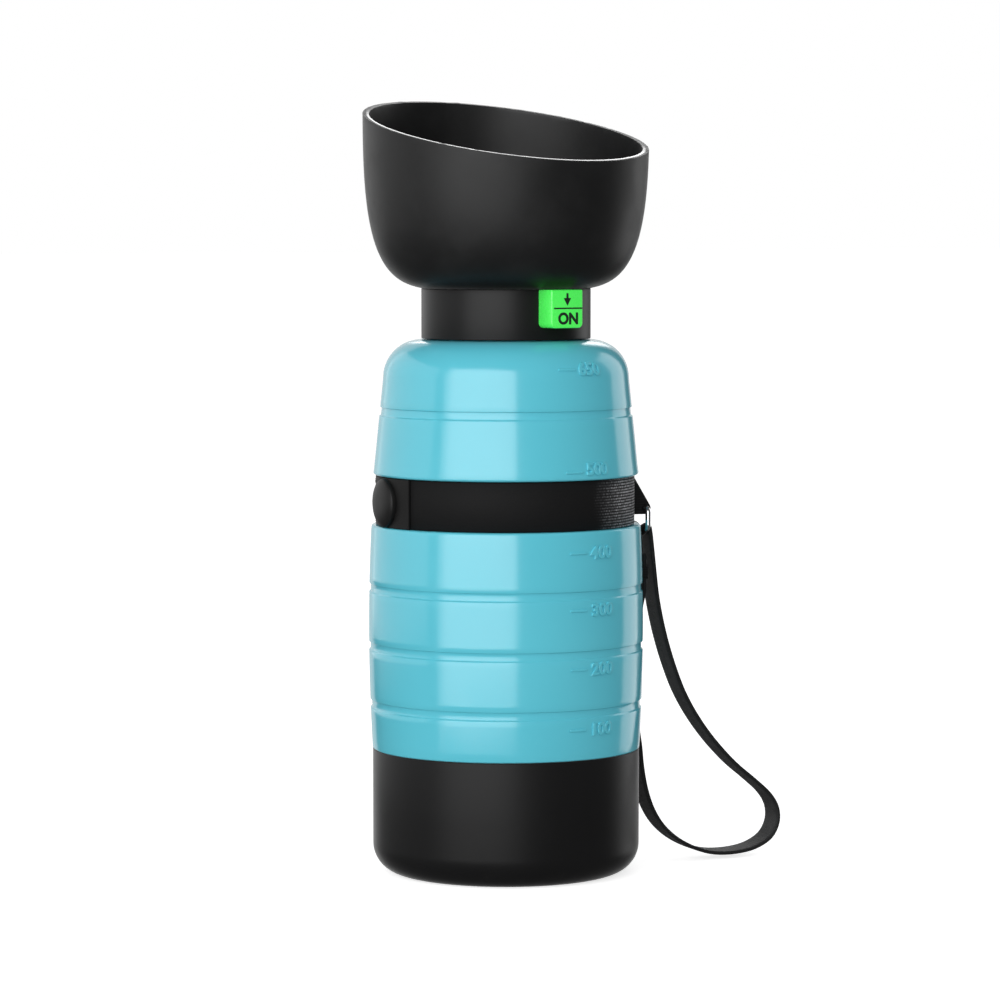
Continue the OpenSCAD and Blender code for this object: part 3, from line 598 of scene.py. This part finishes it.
def hand_strap():
    """The folded webbing, its unrolled length and width as UV. Returns it with its line and length."""
    line = smooth_route(STRAP_ROUTE, 4)
    outline = list(SECTION) + [(k, -h) for k, h in reversed(SECTION[1:-1])]
    count, points, uvs, along = len(outline), [], [], 0.0
    for i, (rho, z) in enumerate(line):
        before, after = line[max(i - 1, 0)], line[min(i + 1, len(line) - 1)]
        step = Vector((after[0] - before[0], after[1] - before[1])).normalized()
        side = Vector((step[1], -step[0])) * STRAP_T
        if i:
            along += dist(line[i - 1], (rho, z))
        near = min(1.0, max(0.0, (z - RING_LOW_Z + CUP_START) / CUP_SPAN))
        near = near * near * (3 - 2 * near)
        for k, h in outline:
            across = k * STRAP_W
            lift = near * (CUP_R - sqrt(CUP_R ** 2 - across ** 2))
            middle = at(RING_AZ, rho + side[0] * h, z + side[1] * h + lift)
            points.append(middle + RING_ACROSS * (across * MM))
            uvs.append((along * MM, across * MM))
    faces = [(a, b, b + count, a + count) for i in range(len(line) - 1)
             for a, b in ((count * i + j, count * i + (j + 1) % count) for j in range(count))]
    faces += [tuple(range(count))[::-1], tuple(len(points) - count + j for j in range(count))]
    mesh = bpy.data.meshes.new("hand_strap_webbing")
    mesh.from_pydata(points, [], faces)
    layer = mesh.uv_layers.new(name="cloth")
    for loop in mesh.loops:
        layer.data[loop.index].uv = uvs[loop.vertex_index]
    strap = added("hand_strap_webbing", mesh)
    edit(strap)
    bpy.ops.mesh.normals_make_consistent(inside=False)
    finished(strap, "strap", "strap_webbing", STRAP_CLOTH, "hand_strap", angle=60)
    return strap, [at(RING_AZ, rho, z) for rho, z in line], along


def keeper():
    """Sewn band round the strap's two ends."""
    in_rho = STRAP_ROUTE[0][0] - STRAP_T / 2 - PLAY - KEEPER_T
    out_rho = STRAP_ROUTE[-1][0] + STRAP_T / 2 + PLAY + KEEPER_T
    half = STRAP_W / 2 + PLAY + KEEPER_T
    sleeve = block("strap_band", (in_rho, -half, KEEPER_Z), (out_rho, half, KEEPER_Z + KEEPER_H))
    edit(sleeve)
    choose(sleeve, "EDGE", lambda m, e: abs((e.verts[0].co - e.verts[1].co).z) > MM)
    bpy.ops.mesh.bevel(offset=0.8 * MM, segments=4, affect="EDGES")
    choose(sleeve, "FACE", lambda m, p: abs(p.normal.z) > 0.9)
    bpy.ops.mesh.delete(type="FACE")
    take(sleeve)
    modify(sleeve, "SOLIDIFY", thickness=KEEPER_T * MM, offset=-1.0)
    soften(sleeve, 0.12)
    sleeve.rotation_euler.z = radians(RING_AZ - 90)
    return finished(sleeve, "strap", "strap_webbing", FOLDED_CLOTH, "strap_keeper", angle=40)


strap, strap_line, strap_length = hand_strap()
strap_band = keeper()


# ---- Bottle ----
def barrel(z):
    """Radius of the bowed lower drum."""
    return BODY_R - BARREL_BOW + sqrt(BARREL_BOW ** 2 - (z - BODY_WIDE_Z) ** 2)


def taper(z):
    """Radius of the upper drum."""
    return UPPER_R + (SHOULDER_R - UPPER_R) * (z - LIP_Z) / (SHOULDER_Z - SHOULDER_FILLET - LIP_Z)


def wall_line(side, low, high, n):
    """Points of a wall between two heights, in n pieces; side gives its radius."""
    heights = [low + (high - low) * i / n for i in range(n + 1)]
    return [(side(z), z) for z in heights]


def groove(side, z):
    """Corners of a grip groove: a sharp upper step and a sloped lower one."""
    low, high = z - GROOVE_H / 2, z + GROOVE_H / 2
    return [(side(low), low), (side(low) - GROOVE_D, low + GROOVE_SLOPE),
            (side(high) - GROOVE_D, high - GROOVE_STEP), (side(high), high)]


def thread(name, root_r, out, z_low, z_high, turned=0):
    """Thread ridge between two heights; it stands out of a spigot (out 1) or in from a bore (out -1)."""
    z = (z_low + z_high - PITCH * TURNS) / 2
    sunk, crest = root_r - out * RIDGE_SUNK, root_r + out * RIDGE_H
    section = ((sunk, -RIDGE_FOOT / 2), (crest, -RIDGE_CREST / 2),
               (crest, RIDGE_CREST / 2), (sunk, RIDGE_FOOT / 2))
    obj = drawn(name, [Vector((rho, 0, z + h)) * MM for rho, h in section])
    modify(obj, "SCREW", angle=radians(360 * TURNS), screw_offset=PITCH * TURNS * MM, steps=96,
           render_steps=96, axis="Z")
    edit(obj)
    bpy.ops.mesh.fill_holes(sides=4)
    clean(obj)
    soften(obj, 0.15, 2, 25)
    obj.rotation_euler.z = radians(turned)
    place(obj)
    return obj


def bottle_shell():
    """Hollow bottle, turned as one wall up to the neck and back down inside."""
    reach = GROOVE_H / 2 + 2
    fillet_r, fillet_z = SHOULDER_R - SHOULDER_FILLET, SHOULDER_Z - SHOULDER_FILLET
    spigot_in, neck_in = SPIGOT_R - WALL, NECK_R - NECK_WALL
    outside = [(SPIGOT_R, SPIGOT_Z + 0.6), (SPIGOT_R, SEAM_Z), (barrel(SEAM_Z) - 0.3, SEAM_Z)]
    low = SEAM_Z + 0.3
    for z in GRIP_Z:
        outside += wall_line(barrel, low, z - reach, 4) + groove(barrel, z)
        low = z + reach
    outside += wall_line(barrel, low, LEDGE_Z - 1.8, 5)
    outside += arc(barrel(LEDGE_Z) - EDGE_ROUND, LEDGE_Z - EDGE_ROUND, EDGE_ROUND, 0, 90, 5)
    outside += [(WAIST_R + 0.3, LEDGE_Z), (WAIST_R, LEDGE_Z + 0.3)]
    outside += [(WAIST_R, LIP_Z - 0.3), (WAIST_R + 0.3, LIP_Z)]
    outside += arc(UPPER_R - EDGE_ROUND, LIP_Z + EDGE_ROUND, EDGE_ROUND, -90, -4, 5)
    outside += wall_line(taper, LIP_Z + 2.5, GRIP_UPPER_Z - reach, 4) + groove(taper, GRIP_UPPER_Z)
    outside += wall_line(taper, GRIP_UPPER_Z + reach, fillet_z - 1, 2)
    outside += arc(fillet_r, fillet_z, SHOULDER_FILLET, 4, 90, 18)
    outside += [(NECK_R + 0.8, SHOULDER_Z), (NECK_R + 0.2, SHOULDER_Z + 0.2), (NECK_R, SHOULDER_Z + 0.8)]
    outside += [(NECK_R, MOUTH_Z - 0.4), (NECK_R - 0.4, MOUTH_Z)]
    outside += [(neck_in, MOUTH_Z), (neck_in, SHOULDER_Z - WALL)]
    inside = arc(fillet_r, fillet_z, SHOULDER_FILLET - WALL, 90, 4, 10)
    inside += [(UPPER_R - WALL, LIP_Z + 4), (WAIST_R - WALL, LIP_Z - 0.5), (WAIST_R - WALL, LEDGE_Z + 0.5)]
    inside += [(barrel(z) - WALL - GROOVE_D, z) for z in (106.6, 95, 85, 75, 65, 55, 45.7)]
    inside += [(spigot_in, SEAM_Z + 1), (spigot_in, SPIGOT_Z + 4)]
    inside += arc(spigot_in - 2, SPIGOT_Z + WALL + 2, 2, 0, -90, 4) + [(CORE_R, SPIGOT_Z + WALL)]
    foot = [(CORE_R, SPIGOT_Z), (SPIGOT_R - 0.6, SPIGOT_Z)]
    shell = turn("bottle_shell", foot + outside + inside, 160, closed=False)
    soften(shell, 0.10, 2, 24)
    ridges = [thread("neck_thread", NECK_R, 1, SHOULDER_Z, MOUTH_Z),
              thread("spigot_thread", SPIGOT_R, 1, SPIGOT_Z, SEAM_Z)]
    return finished(join(shell, *ridges), "bottle", "bottle_plastic", BLUE, "bottle", angle=40)


def side_radius(z):
    """Radius of the bottle's outside under the scale."""
    if z < LEDGE_Z:
        return barrel(z)
    if z < SHOULDER_Z - SHOULDER_FILLET:
        return taper(z)
    up = z - SHOULDER_Z + SHOULDER_FILLET
    return SHOULDER_R - SHOULDER_FILLET + sqrt(SHOULDER_FILLET ** 2 - up ** 2)


def wrap(obj, azimuth, z, rise):
    """Bends a flat mark drawn in X and Y round the bottle's side."""
    for vertex in obj.data.vertices:
        across, up, out = vertex.co / MM
        radius = side_radius(z + up)
        vertex.co = at(azimuth + degrees(across / side_radius(z)), radius + out + rise, z + up)


def lettering(name, text, height, depth, bevel, bold=0.0):
    """A word or number as a solid, in X and Y, its lower left corner at the origin."""
    take()
    bpy.ops.object.text_add()
    obj = bpy.context.object
    obj.name = name
    obj.data.body, obj.data.size = text, height * MM / LETTER_CAP
    obj.data.extrude, obj.data.bevel_depth, obj.data.bevel_resolution = depth * MM / 2, bevel * MM, 2
    obj.data.resolution_u, obj.data.offset = 6, bold * MM
    bpy.ops.object.convert(target="MESH")
    place(obj)
    return obj


def scale_marks():
    """The raised volume scale: a line and a number for each mark."""
    pieces = []
    for z, text, number_up, turned in MARKS:
        line = block("scale_line", (-MARK_W / 2, -MARK_H / 2, -MARK_DEPTH), (MARK_W / 2, MARK_H / 2, 0))
        modify(line, "BEVEL", width=0.14 * MM, segments=3)
        edit(line)
        for i in range(-MARK_CUTS, MARK_CUTS + 1):
            bpy.ops.mesh.select_all(action="SELECT")
            bpy.ops.mesh.bisect(plane_co=(i * MARK_W / (2 * MARK_CUTS + 2) * MM, 0, 0), plane_no=(1, 0, 0))
        take(line)
        wrap(line, MARK_AZ + turned, z, MARK_RISE)
        number = lettering("scale_number", text, DIGIT_H - 0.3, DIGIT_DEPTH, 0.18, 0.05)
        number.scale.x = DIGIT_WIDER
        place(number)
        wrap(number, DIGIT_AZ + turned, z + number_up - DIGIT_H / 2 + 0.1, 0.0)
        pieces += [line, number]
    marks = join(*pieces)
    marks.name = "volume_scale"
    return finished(marks, "bottle", "bottle_plastic", BLUE, angle=45)


bottle_shell()
scale_marks()


# ---- Base cup ----
def base_cup():
    """Cup with a raised foot, a ledge for the seal and a thread inside."""
    fillet_r = BASE_R - BASE_FILLET
    outline = [(CORE_R, FOOT_RISE), (fillet_r - FOOT_IN, FOOT_RISE), (fillet_r - FOOT_OUT, 0.0)]
    outline += arc(fillet_r, BASE_FILLET, BASE_FILLET, -90, 0, 16)
    outline += [(BASE_R, 20), (BASE_R, SEAM_Z - 0.1), (BASE_IN_R, SEAM_Z - 0.1), (BASE_IN_R, SEAL_Z)]
    outline += [(LEDGE_IN_R, SEAL_Z), (LEDGE_IN_R, SEAL_Z - 1), (BASE_IN_R, SEAL_Z - 3.6)]
    outline += arc(fillet_r, BASE_FILLET, BASE_FILLET - BASE_FLOOR, 0, -90, 12) + [(CORE_R, BASE_FLOOR)]
    cup = turn("base_cup_shell", outline, 160, closed=False)
    soften(cup, 0.25, 3, 40)
    ridge = thread("base_thread", BASE_IN_R, -1, SPIGOT_Z, SEAM_Z, 180)
    return finished(join(cup, ridge), "base", "base_plastic", BASE_BLACK, "base_cup", angle=40)


base_cup()


# ---- Cap, valve cover and bowl ----
def cap_body():
    """Lower cap: threaded skirt, deck with a bore, and a window for the button's arm."""
    dry_r, bore_out = CAP_R - DRY_WALL, BORE_R + BORE_WALL
    outline = [(SKIRT_IN_R, CAP_Z), (CAP_R, CAP_Z), (CAP_R, TOP_Z), (dry_r, TOP_Z), (dry_r, DRY_Z)]
    outline += [(BORE_R, DRY_Z), (BORE_R, DECK_Z - BORE_DROP), (bore_out, DECK_Z - BORE_DROP)]
    outline += [(bore_out, DECK_Z), (SKIRT_IN_R, DECK_Z)]
    cap = turn("cap_shell", outline, 160)
    soften(cap, 0.30, 3, 40)
    half = WINDOW_W / 2
    cut(cap, block("window", (-half, -CAP_R - 1, DRY_Z), (half, -CAP_R + WINDOW_IN, TOP_Z + 1)))
    ridge = thread("cap_thread", SKIRT_IN_R, -1, SHOULDER_Z, MOUTH_Z, 180)
    return finished(join(cap, ridge), "head", "cap_plastic", CAP_BLACK, "cap_body", angle=40)


def bowl_out(h):
    """Outer radius of the bowl at a height above the cap."""
    u = max(0.0, 1 - (h + BOWL_SUNK) / BOWL_CURVE_H)
    return BOWL_R * (1 - u ** BOWL_POWER) ** (1 / BOWL_ROOT)


def bowl_in(h):
    """Point of the inner wall, straight in from the outer one."""
    step = 0.05
    slope = (bowl_out(h + step) - bowl_out(h)) / step
    length = sqrt(1 + slope * slope)
    return bowl_out(h) - BOWL_WALL / length, h + BOWL_WALL * slope / length


def bowl():
    """The bowl, turned higher than it is and cut off along its slanted rim."""
    tilt = radians(RIM_SLANT)
    top = RIM_H + BOWL_R * tan(tilt) + 2
    heights = [top * (i / BOWL_ROWS) ** 1.6 for i in range(BOWL_ROWS + 1)]
    hem = FLANGE_Z + 0.1 - TOP_Z
    floor_h = hem + BOWL_WALL
    outline = [(FLANGE_R + 0.1, 0), (CAP_R, 0)]
    outline += [(bowl_out(h), h) for h in heights if bowl_out(h) > CAP_R + 0.2]
    outline += [(r, h) for r, h in map(bowl_in, reversed(heights)) if h > floor_h + 0.1 and r > RETAINER_R]
    outline += [(RETAINER_R + 1, floor_h), (HEM_R, floor_h), (HEM_R, hem), (FLANGE_R + 0.1, hem)]
    shell = turn("bowl_shell", [(r, TOP_Z + h) for r, h in outline], 176)
    edit(shell)
    rim, up = Vector((0, 0, TOP_Z + RIM_H)) * MM, Vector((0, -sin(tilt), cos(tilt)))
    bpy.ops.mesh.bisect(plane_co=rim, plane_no=up, clear_outer=True)
    bpy.ops.mesh.select_mode(type="EDGE")
    bpy.ops.mesh.select_all(action="DESELECT")
    bpy.ops.mesh.select_non_manifold()
    bpy.ops.mesh.bridge_edge_loops()
    take(shell)
    clean(shell, 0.01)
    soften(shell, 0.75, 4, 50)
    return finished(shell, "head", "bowl_silicone", SILICONE, "bowl", angle=50)


def retainer():
    """Ring round the tower that holds the bowl's floor down."""
    in_r, hem_r, low = TOWER_R + FIT, HEM_R - 0.1, FLOOR_Z + 0.1
    top = low + RETAINER_T
    outline = [(in_r, FLANGE_Z), (hem_r, FLANGE_Z), (hem_r, low), (RETAINER_R, low)]
    outline += [(RETAINER_R, top - RETAINER_CHAMFER), (RETAINER_R - RETAINER_CHAMFER, top), (in_r, top)]
    ring = turn("bowl_retainer_ring", outline, 128)
    soften(ring, 0.15)
    return finished(ring, "head", "cap_plastic", CAP_BLACK, "bowl_retainer")


def outlet_cover():
    """Cap over the valve, with outlets round its side and a peg that holds the plug."""
    in_r, low, roof, peg_low = TOWER_R + FIT, FLOOR_Z + 1.8, SEAT_Z + 4.0, SEAT_Z + 1.8
    top = roof + COVER_T
    outline = [(FINE_CORE_R, top), (COVER_R - COVER_ROUND - 0.3, top)]
    outline += arc(COVER_R - COVER_ROUND, top - COVER_ROUND, COVER_ROUND, 84, 0, 5)
    outline += [(COVER_R, low), (in_r, low), (in_r, roof), (PEG_R, roof), (PEG_R, peg_low)]
    outline += [(PEG_IN_R, peg_low), (PEG_IN_R, roof), (FINE_CORE_R, roof)]
    cover = turn("outlet_cover_cap", outline, 144, closed=False)
    for i in range(OUTLETS):
        hole = block("window", (-OUTLET_W / 2, TOWER_R - 1, TOWER_Z + 0.4), (OUTLET_W / 2, TOWER_R + 3, roof))
        hole.rotation_euler.z = radians(360 / OUTLETS * i - 90)
        place(hole)
        cut(cover, hole)
    soften(cover, 0.2, 2, 40)
    return finished(cover, "head", "cap_plastic", CAP_BLACK, "outlet_cover")


cap_body()
bowl()
retainer()
outlet_cover()


# ---- Push button ----
def push_button():
    """Button with its lower corners rounded, hollowed behind to the cap's round."""
    half, low, inside = BUTTON_W / 2, BUTTON_TOP - BUTTON_H, 0.1
    button = block("push_button_cap", (-half, -BUTTON_FACE, low), (half, -CAP_R + 4, BUTTON_TOP))
    edit(button)
    for rounding, segments, test in (
            (BUTTON_LOW_ROUND, 6, lambda m, e: m.z < low + inside and abs(m.x) > half - inside),
            (BUTTON_TOP_ROUND, 3, lambda m, e: m.z > BUTTON_TOP - inside and abs(m.x) > half - inside),
            (BUTTON_FACE_ROUND, 4, lambda m, e: m.y < -BUTTON_FACE + inside)):
        choose(button, "EDGE", test)
        bpy.ops.mesh.bevel(offset=rounding * MM, segments=segments, affect="EDGES")
    take(button)
    bore_r, bore_low, bore_top = CAP_R + 0.3, BUTTON_TOP - 14, BUTTON_TOP + 2
    bore = [(CORE_R, bore_low), (bore_r, bore_low), (bore_r, bore_top), (CORE_R, bore_top)]
    cut(button, turn("bore", bore, 128, closed=False))
    soften(button, 0.12, 2, 55)
    return finished(button, "valve", "button_plastic", GREEN, "push_button", angle=40)


def button_marks():
    """A generic arrow down, a rule and ON, printed dark on the button's face."""
    half = INK_T / 2
    word = lettering("word_on", "ON", WORD_H, INK_T, 0.0, 0.20)
    word.location = (-3.5 * MM, -0.55 * MM, 0)
    place(word)
    rule = block("rule", (-5.1, 4.0, -half), (5.6, 4.45, half))
    arrow = start("arrow", bpy.ops.mesh.primitive_circle_add, vertices=3, radius=1.6 * MM, fill_type="NGON",
                  location=(0, 6.6 * MM, 0), rotation=(0, 0, pi))
    shaft = block("shaft", (-0.38, 7.0, -half), (0.38, 8.9, half))
    modify(arrow, "SOLIDIFY", thickness=INK_T * MM, offset=0.0)
    marks = join(word, rule, arrow, shaft)
    marks.name = "button_marks"
    marks.rotation_euler = (radians(90), 0, 0)
    marks.location = Vector((0, -BUTTON_FACE - half, BUTTON_TOP - BUTTON_H / 2 - 4.0)) * MM
    return finished(marks, "valve", "button_plastic", INK)


push_button()
button_marks()


# ---- Belt, tab and snap ----
def band(name, r_out, r_in, azimuth, span, steps, edge):
    """A length of flat band round the waist, its long edges cut off by the edge's size."""
    low, high = BELT_Z - BELT_W / 2, BELT_Z + BELT_W / 2
    section = [(r_in, low + edge), (r_in + edge, low), (r_out - edge, low), (r_out, low + edge)]
    section += [(r_out, high - edge), (r_out - edge, high), (r_in + edge, high), (r_in, high - edge)]
    return spun(name, section, azimuth, span, steps)


def belt():
    """Belt round the waist, its two ends under the tab."""
    webbing = band("belt_band", BELT_R, BELT_IN_R, BELT_OPEN_AZ, BELT_SPAN, 168, 0.28)
    return finished(webbing, "bottle", "belt_webbing", BELT_CLOTH, "belt", angle=50)


def snap_tab():
    """Rubber tab over the belt, thinned towards its sewn root."""
    tab = band("snap_tab", TAB_R, TAB_IN_R, TAB_ROOT_AZ, TAB_END_AZ - TAB_ROOT_AZ, 32, 0.2)
    for vertex in tab.data.vertices:
        x, y, z = vertex.co / MM
        root = min(1.0, max(0.0, (THIN_AZ - degrees(atan2(x, -y))) / THIN_SPAN))
        rho = hypot(x, y)
        if rho > TAB_IN_R + 0.3:
            kept = 1 - THIN_BY * root / rho
            vertex.co = Vector((x * kept, y * kept, z)) * MM
    soften(tab, 0.12, 2, 50)
    return finished(tab, "snap_flap", "tab_rubber", TAB_RUBBER, "belt_tab", angle=40)


def snap_dome():
    """Flat-topped dome of the snap, sunk a little into the tab."""
    edge = TAB_R + DOME_EDGE
    outline = [(FINE_CORE_R, TAB_R - 0.6), (DOME_R - 0.15, TAB_R - 0.6)]
    outline += [(DOME_R, TAB_R - 0.4), (DOME_R, edge)]
    outline += [(DOME_R * u, edge + (DOME_H - DOME_EDGE) * (1 - u ** 2.8) ** 0.6)
                for u in (0.998, 0.992, 0.98, 0.96, 0.93, 0.89, 0.83, 0.75, 0.65, 0.52, 0.38, 0.22, 0.053)]
    dome = turn("snap_dome", outline, 96, closed=False)
    turned_out(dome, SNAP_AZ, DOME_Z)
    return finished(dome, "snap_flap", "snap_plastic", SNAP_BLACK, "snap_cap", angle=45)


belt()
snap_tab()
snap_dome()


# ---- Webbing loop and ring ----
def ring_loop():
    """Webbing folded round the ring's bar and sewn shut behind it."""
    hold, sewn, belt_top = WIRE_R + PLAY, BELT_R + PLAY, BELT_Z + BELT_W / 2
    outline = [(sewn, belt_top), (sewn + 0.9, belt_top - 0.2)]
    outline += arc(RING_RHO, RING_TOP_Z, hold + LOOP_T, 32, -90, 12) + [(sewn, RING_TOP_Z - hold - LOOP_T)]
    side = [Vector((rho, -LOOP_W / 2, z)) * MM for rho, z in outline]
    loop = drawn("ring_loop_webbing", side, fill_type="NGON")
    edit(loop)
    bpy.ops.mesh.extrude_region_move(TRANSFORM_OT_translate={"value": (0, LOOP_W * MM, 0)})
    clean(loop)
    bore = start("bore", bpy.ops.mesh.primitive_cylinder_add, vertices=48, radius=hold * MM, depth=20 * MM,
                 location=(RING_RHO * MM, 0, RING_TOP_Z * MM), rotation=(pi / 2, 0, 0))
    cut(loop, bore)
    soften(loop, 0.22, 2, 40)
    loop.rotation_euler.z = radians(RING_AZ - 90)
    return finished(loop, "bottle", "belt_webbing", FOLDED_CLOTH, "ring_loop", angle=45)


def strap_ring():
    """Wire ring: a straight bar in the loop and a bow for the strap."""
    w, up = RING_HALF_W - RING_CORNER, RING_TOP_Z - RING_CORNER
    bow = degrees(asin(w / (BOW_R - RING_CORNER)))
    low = RING_LOW_Z + BOW_R - (BOW_R - RING_CORNER) * cos(radians(bow))
    line = arc(w, up, RING_CORNER, 0, 90, 6) + arc(-w, up, RING_CORNER, 90, 180, 6)
    line += arc(-w, low, RING_CORNER, 180, 270 - bow, 6)
    line += arc(0, RING_LOW_Z + BOW_R, BOW_R, -90 - bow, -90 + bow, 20)[1:-1]
    line += arc(w, low, RING_CORNER, -90 + bow, 0, 6)
    curve = bpy.data.curves.new("strap_ring_wire", "CURVE")
    curve.dimensions, curve.bevel_depth, curve.bevel_resolution = "3D", WIRE_R * MM, 5
    spline = curve.splines.new("POLY")
    spline.points.add(len(line) - 1)
    for point, (across, z) in zip(spline.points, line):
        point.co = (*(at(RING_AZ, RING_RHO, z) + RING_ACROSS * (across * MM)), 1)
    spline.use_cyclic_u = True
    take(added("strap_ring_wire", curve))
    bpy.ops.object.convert(target="MESH")
    return finished(bpy.context.object, "strap", "ring_metal", CHROME, "strap_ring", angle=60)


ring_loop()
strap_ring()


# ---- Stitches ----
def stitches(name, body, slot, ends, radius):
    """Copies of one stitch, each between two points and facing a direction; radius in mm."""
    stitch = start("stitch", bpy.ops.mesh.primitive_uv_sphere_add, segments=6, ring_count=4, radius=1.0)
    copies = []
    for a, b, out in ends:
        along = b - a
        side = out.cross(along).normalized()
        up = along.cross(side).normalized()
        mesh = stitch.data.copy()
        for vertex in mesh.vertices:
            x, y, z = vertex.co
            vertex.co = (a + b) / 2 + along * (z * 0.5) + side * (x * radius * MM) + up * (y * radius * MM)
        copies.append(added("stitch", mesh))
    bpy.data.objects.remove(stitch)
    row = join(*copies)
    row.name = name
    return finished(row, body, slot, THREAD, angle=80)


def tab_stitches():
    """A sewn box at the tab's root."""
    ends, r = [], TAB_R - 0.43
    for az in TAB_SEWN_AZ:
        for i in range(8):
            z = BELT_Z - 6.4 + i * TAB_STITCH_STEP
            ends.append((at(az, r, z), at(az, r, z + TAB_STITCH), at(az, 1, 0)))
    for z in (BELT_Z - TAB_SEAM, BELT_Z + TAB_SEAM):
        for i in range(2):
            az = TAB_SEWN_AZ[0] + 0.1 + i * 1.7
            ends.append((at(az, r, z), at(az + 1.3, r, z), at(az, 1, 0)))
    return stitches("tab_stitches", "snap_flap", "tab_rubber", ends, TAB_STITCH_R)


def band_stitches():
    """Two short rows of stitches on the keeper."""
    ends, rho, out = [], STRAP_ROUTE[-1][0] + STRAP_T / 2 + PLAY + KEEPER_T, at(RING_AZ, 1, 0)
    for z in (KEEPER_Z + BAND_SEAM, KEEPER_Z + KEEPER_H - BAND_SEAM):
        for i in range(5):
            y, middle = -4.1 + i * BAND_STITCH_STEP, at(RING_AZ, rho, z)
            ends.append((middle + RING_ACROSS * y * MM, middle + RING_ACROSS * (y + BAND_STITCH) * MM, out))
    return stitches("band_stitches", "strap", "strap_webbing", ends, BAND_STITCH_R)


tab_stitches()
band_stitches()

# ---- Inner pieces that keep their CAD shape ----
INNER = ((CLEAR, ("base_seal", "neck_gasket", "plug_seal")), (WHITE, ("valve_sleeve",)),
         (SEAL_RUBBER, ("sleeve_o_ring_lower", "sleeve_o_ring_upper")), (CAP_BLACK, ("cap_top",)),
         (NICKEL, ("snap_socket", "snap_stud", "snap_post")))
for material, nodes in INNER:
    for node in nodes:
        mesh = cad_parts[node].data
        mesh.materials.clear()
        mesh.materials.append(material)


# ---- Studio: pale floor, soft panels and a pale room ----
FLOOR_SIZE, FLOOR_GLOW = 40.0, 0.72  # metres, and its own light
ROOM_GLOW, ROOM_IN_GLOSS, ROOM_IN_SIGHT = 0.42, 0.10, 1.0  # on surfaces, in reflections, seen directly
PANEL_RHO = 1700
PANELS = (  # name; left, right in degrees from the camera's side; low, high; light; lights, reflects
    ("key_light", -55, 15, 0, 1500, 2.5, True, False),
    ("key_reflection", -53, 9, -330, 1300, 4.2, False, True),
    ("key_border", -58, -53, -330, 1300, 2.4, False, True),
    ("left_reflection", -150, -68, -130, 1300, 1.2, False, True),
    ("edge_reflection", 115, 144, -400, 1300, 1.7, False, True),
    ("back_reflection", 161, 213, -600, 1300, 0.8, False, True),
    ("rim_reflection", 165, 190, 600, 1150, 2.5, False, True))


def floor():
    """Wide pale floor that neither lights the object nor shows in it."""
    f = Finish("studio_floor", Roughness=0.8, Emission_Color=(1, 1, 1, 1), Emission_Strength=FLOOR_GLOW)
    f.wear(Base_Color=f.mix(f.noise(3.0, 2.0), (0.90, 0.90, 0.90), (0.92, 0.92, 0.92)))
    plane = start("floor", bpy.ops.mesh.primitive_plane_add, size=FLOOR_SIZE)
    plane.data.materials.append(f.material)
    plane.visible_diffuse = plane.visible_glossy = False


def panel(name, left, right, low, high, glow, lights, reflects):
    """A soft light panel: its sides as angles seen from the bottle in degrees, its edges in mm."""
    middle, half = (left + right) / 2, radians(right - left) / 2
    width, height = 2 * PANEL_RHO * tan(half) * MM, (high - low) * MM
    data = bpy.data.lights.new(name, "AREA")
    data.shape, data.size, data.size_y = "RECTANGLE", width, height
    data.energy = glow * pi * width * height
    light = added(name, data)
    light.location = at(CAMERA_AZIMUTH + middle, PANEL_RHO, (low + high) / 2)
    light.rotation_euler = (radians(90), 0, radians(CAMERA_AZIMUTH + middle))
    light.visible_camera, light.visible_diffuse, light.visible_glossy = False, lights, reflects


def room():
    """White behind the object, a soft grey light from all round, and little of it in reflections."""
    world = bpy.data.worlds.new("room")
    world.use_nodes = True
    tree = world.node_tree
    path = tree.nodes.new("ShaderNodeLightPath")
    glows = []
    for strength in (ROOM_GLOW, ROOM_IN_GLOSS, ROOM_IN_SIGHT):
        glow = tree.nodes.new("ShaderNodeBackground")
        glow.inputs["Color"].default_value = (1, 1, 1, 1)
        glow.inputs["Strength"].default_value = strength
        glows.append(glow.outputs[0])
    mixed = glows[0]
    for ray, glow in zip(("Is Glossy Ray", "Is Camera Ray"), glows[1:]):
        mix = tree.nodes.new("ShaderNodeMixShader")
        tree.links.new(path.outputs[ray], mix.inputs[0])
        tree.links.new(mixed, mix.inputs[1])
        tree.links.new(glow, mix.inputs[2])
        mixed = mix.outputs[0]
    tree.links.new(mixed, tree.nodes["World Output"].inputs["Surface"])
    bpy.context.scene.world = world


floor()
for settings in PANELS:
    panel(*settings)
room()
bpy.context.scene.view_settings.view_transform = "Standard"
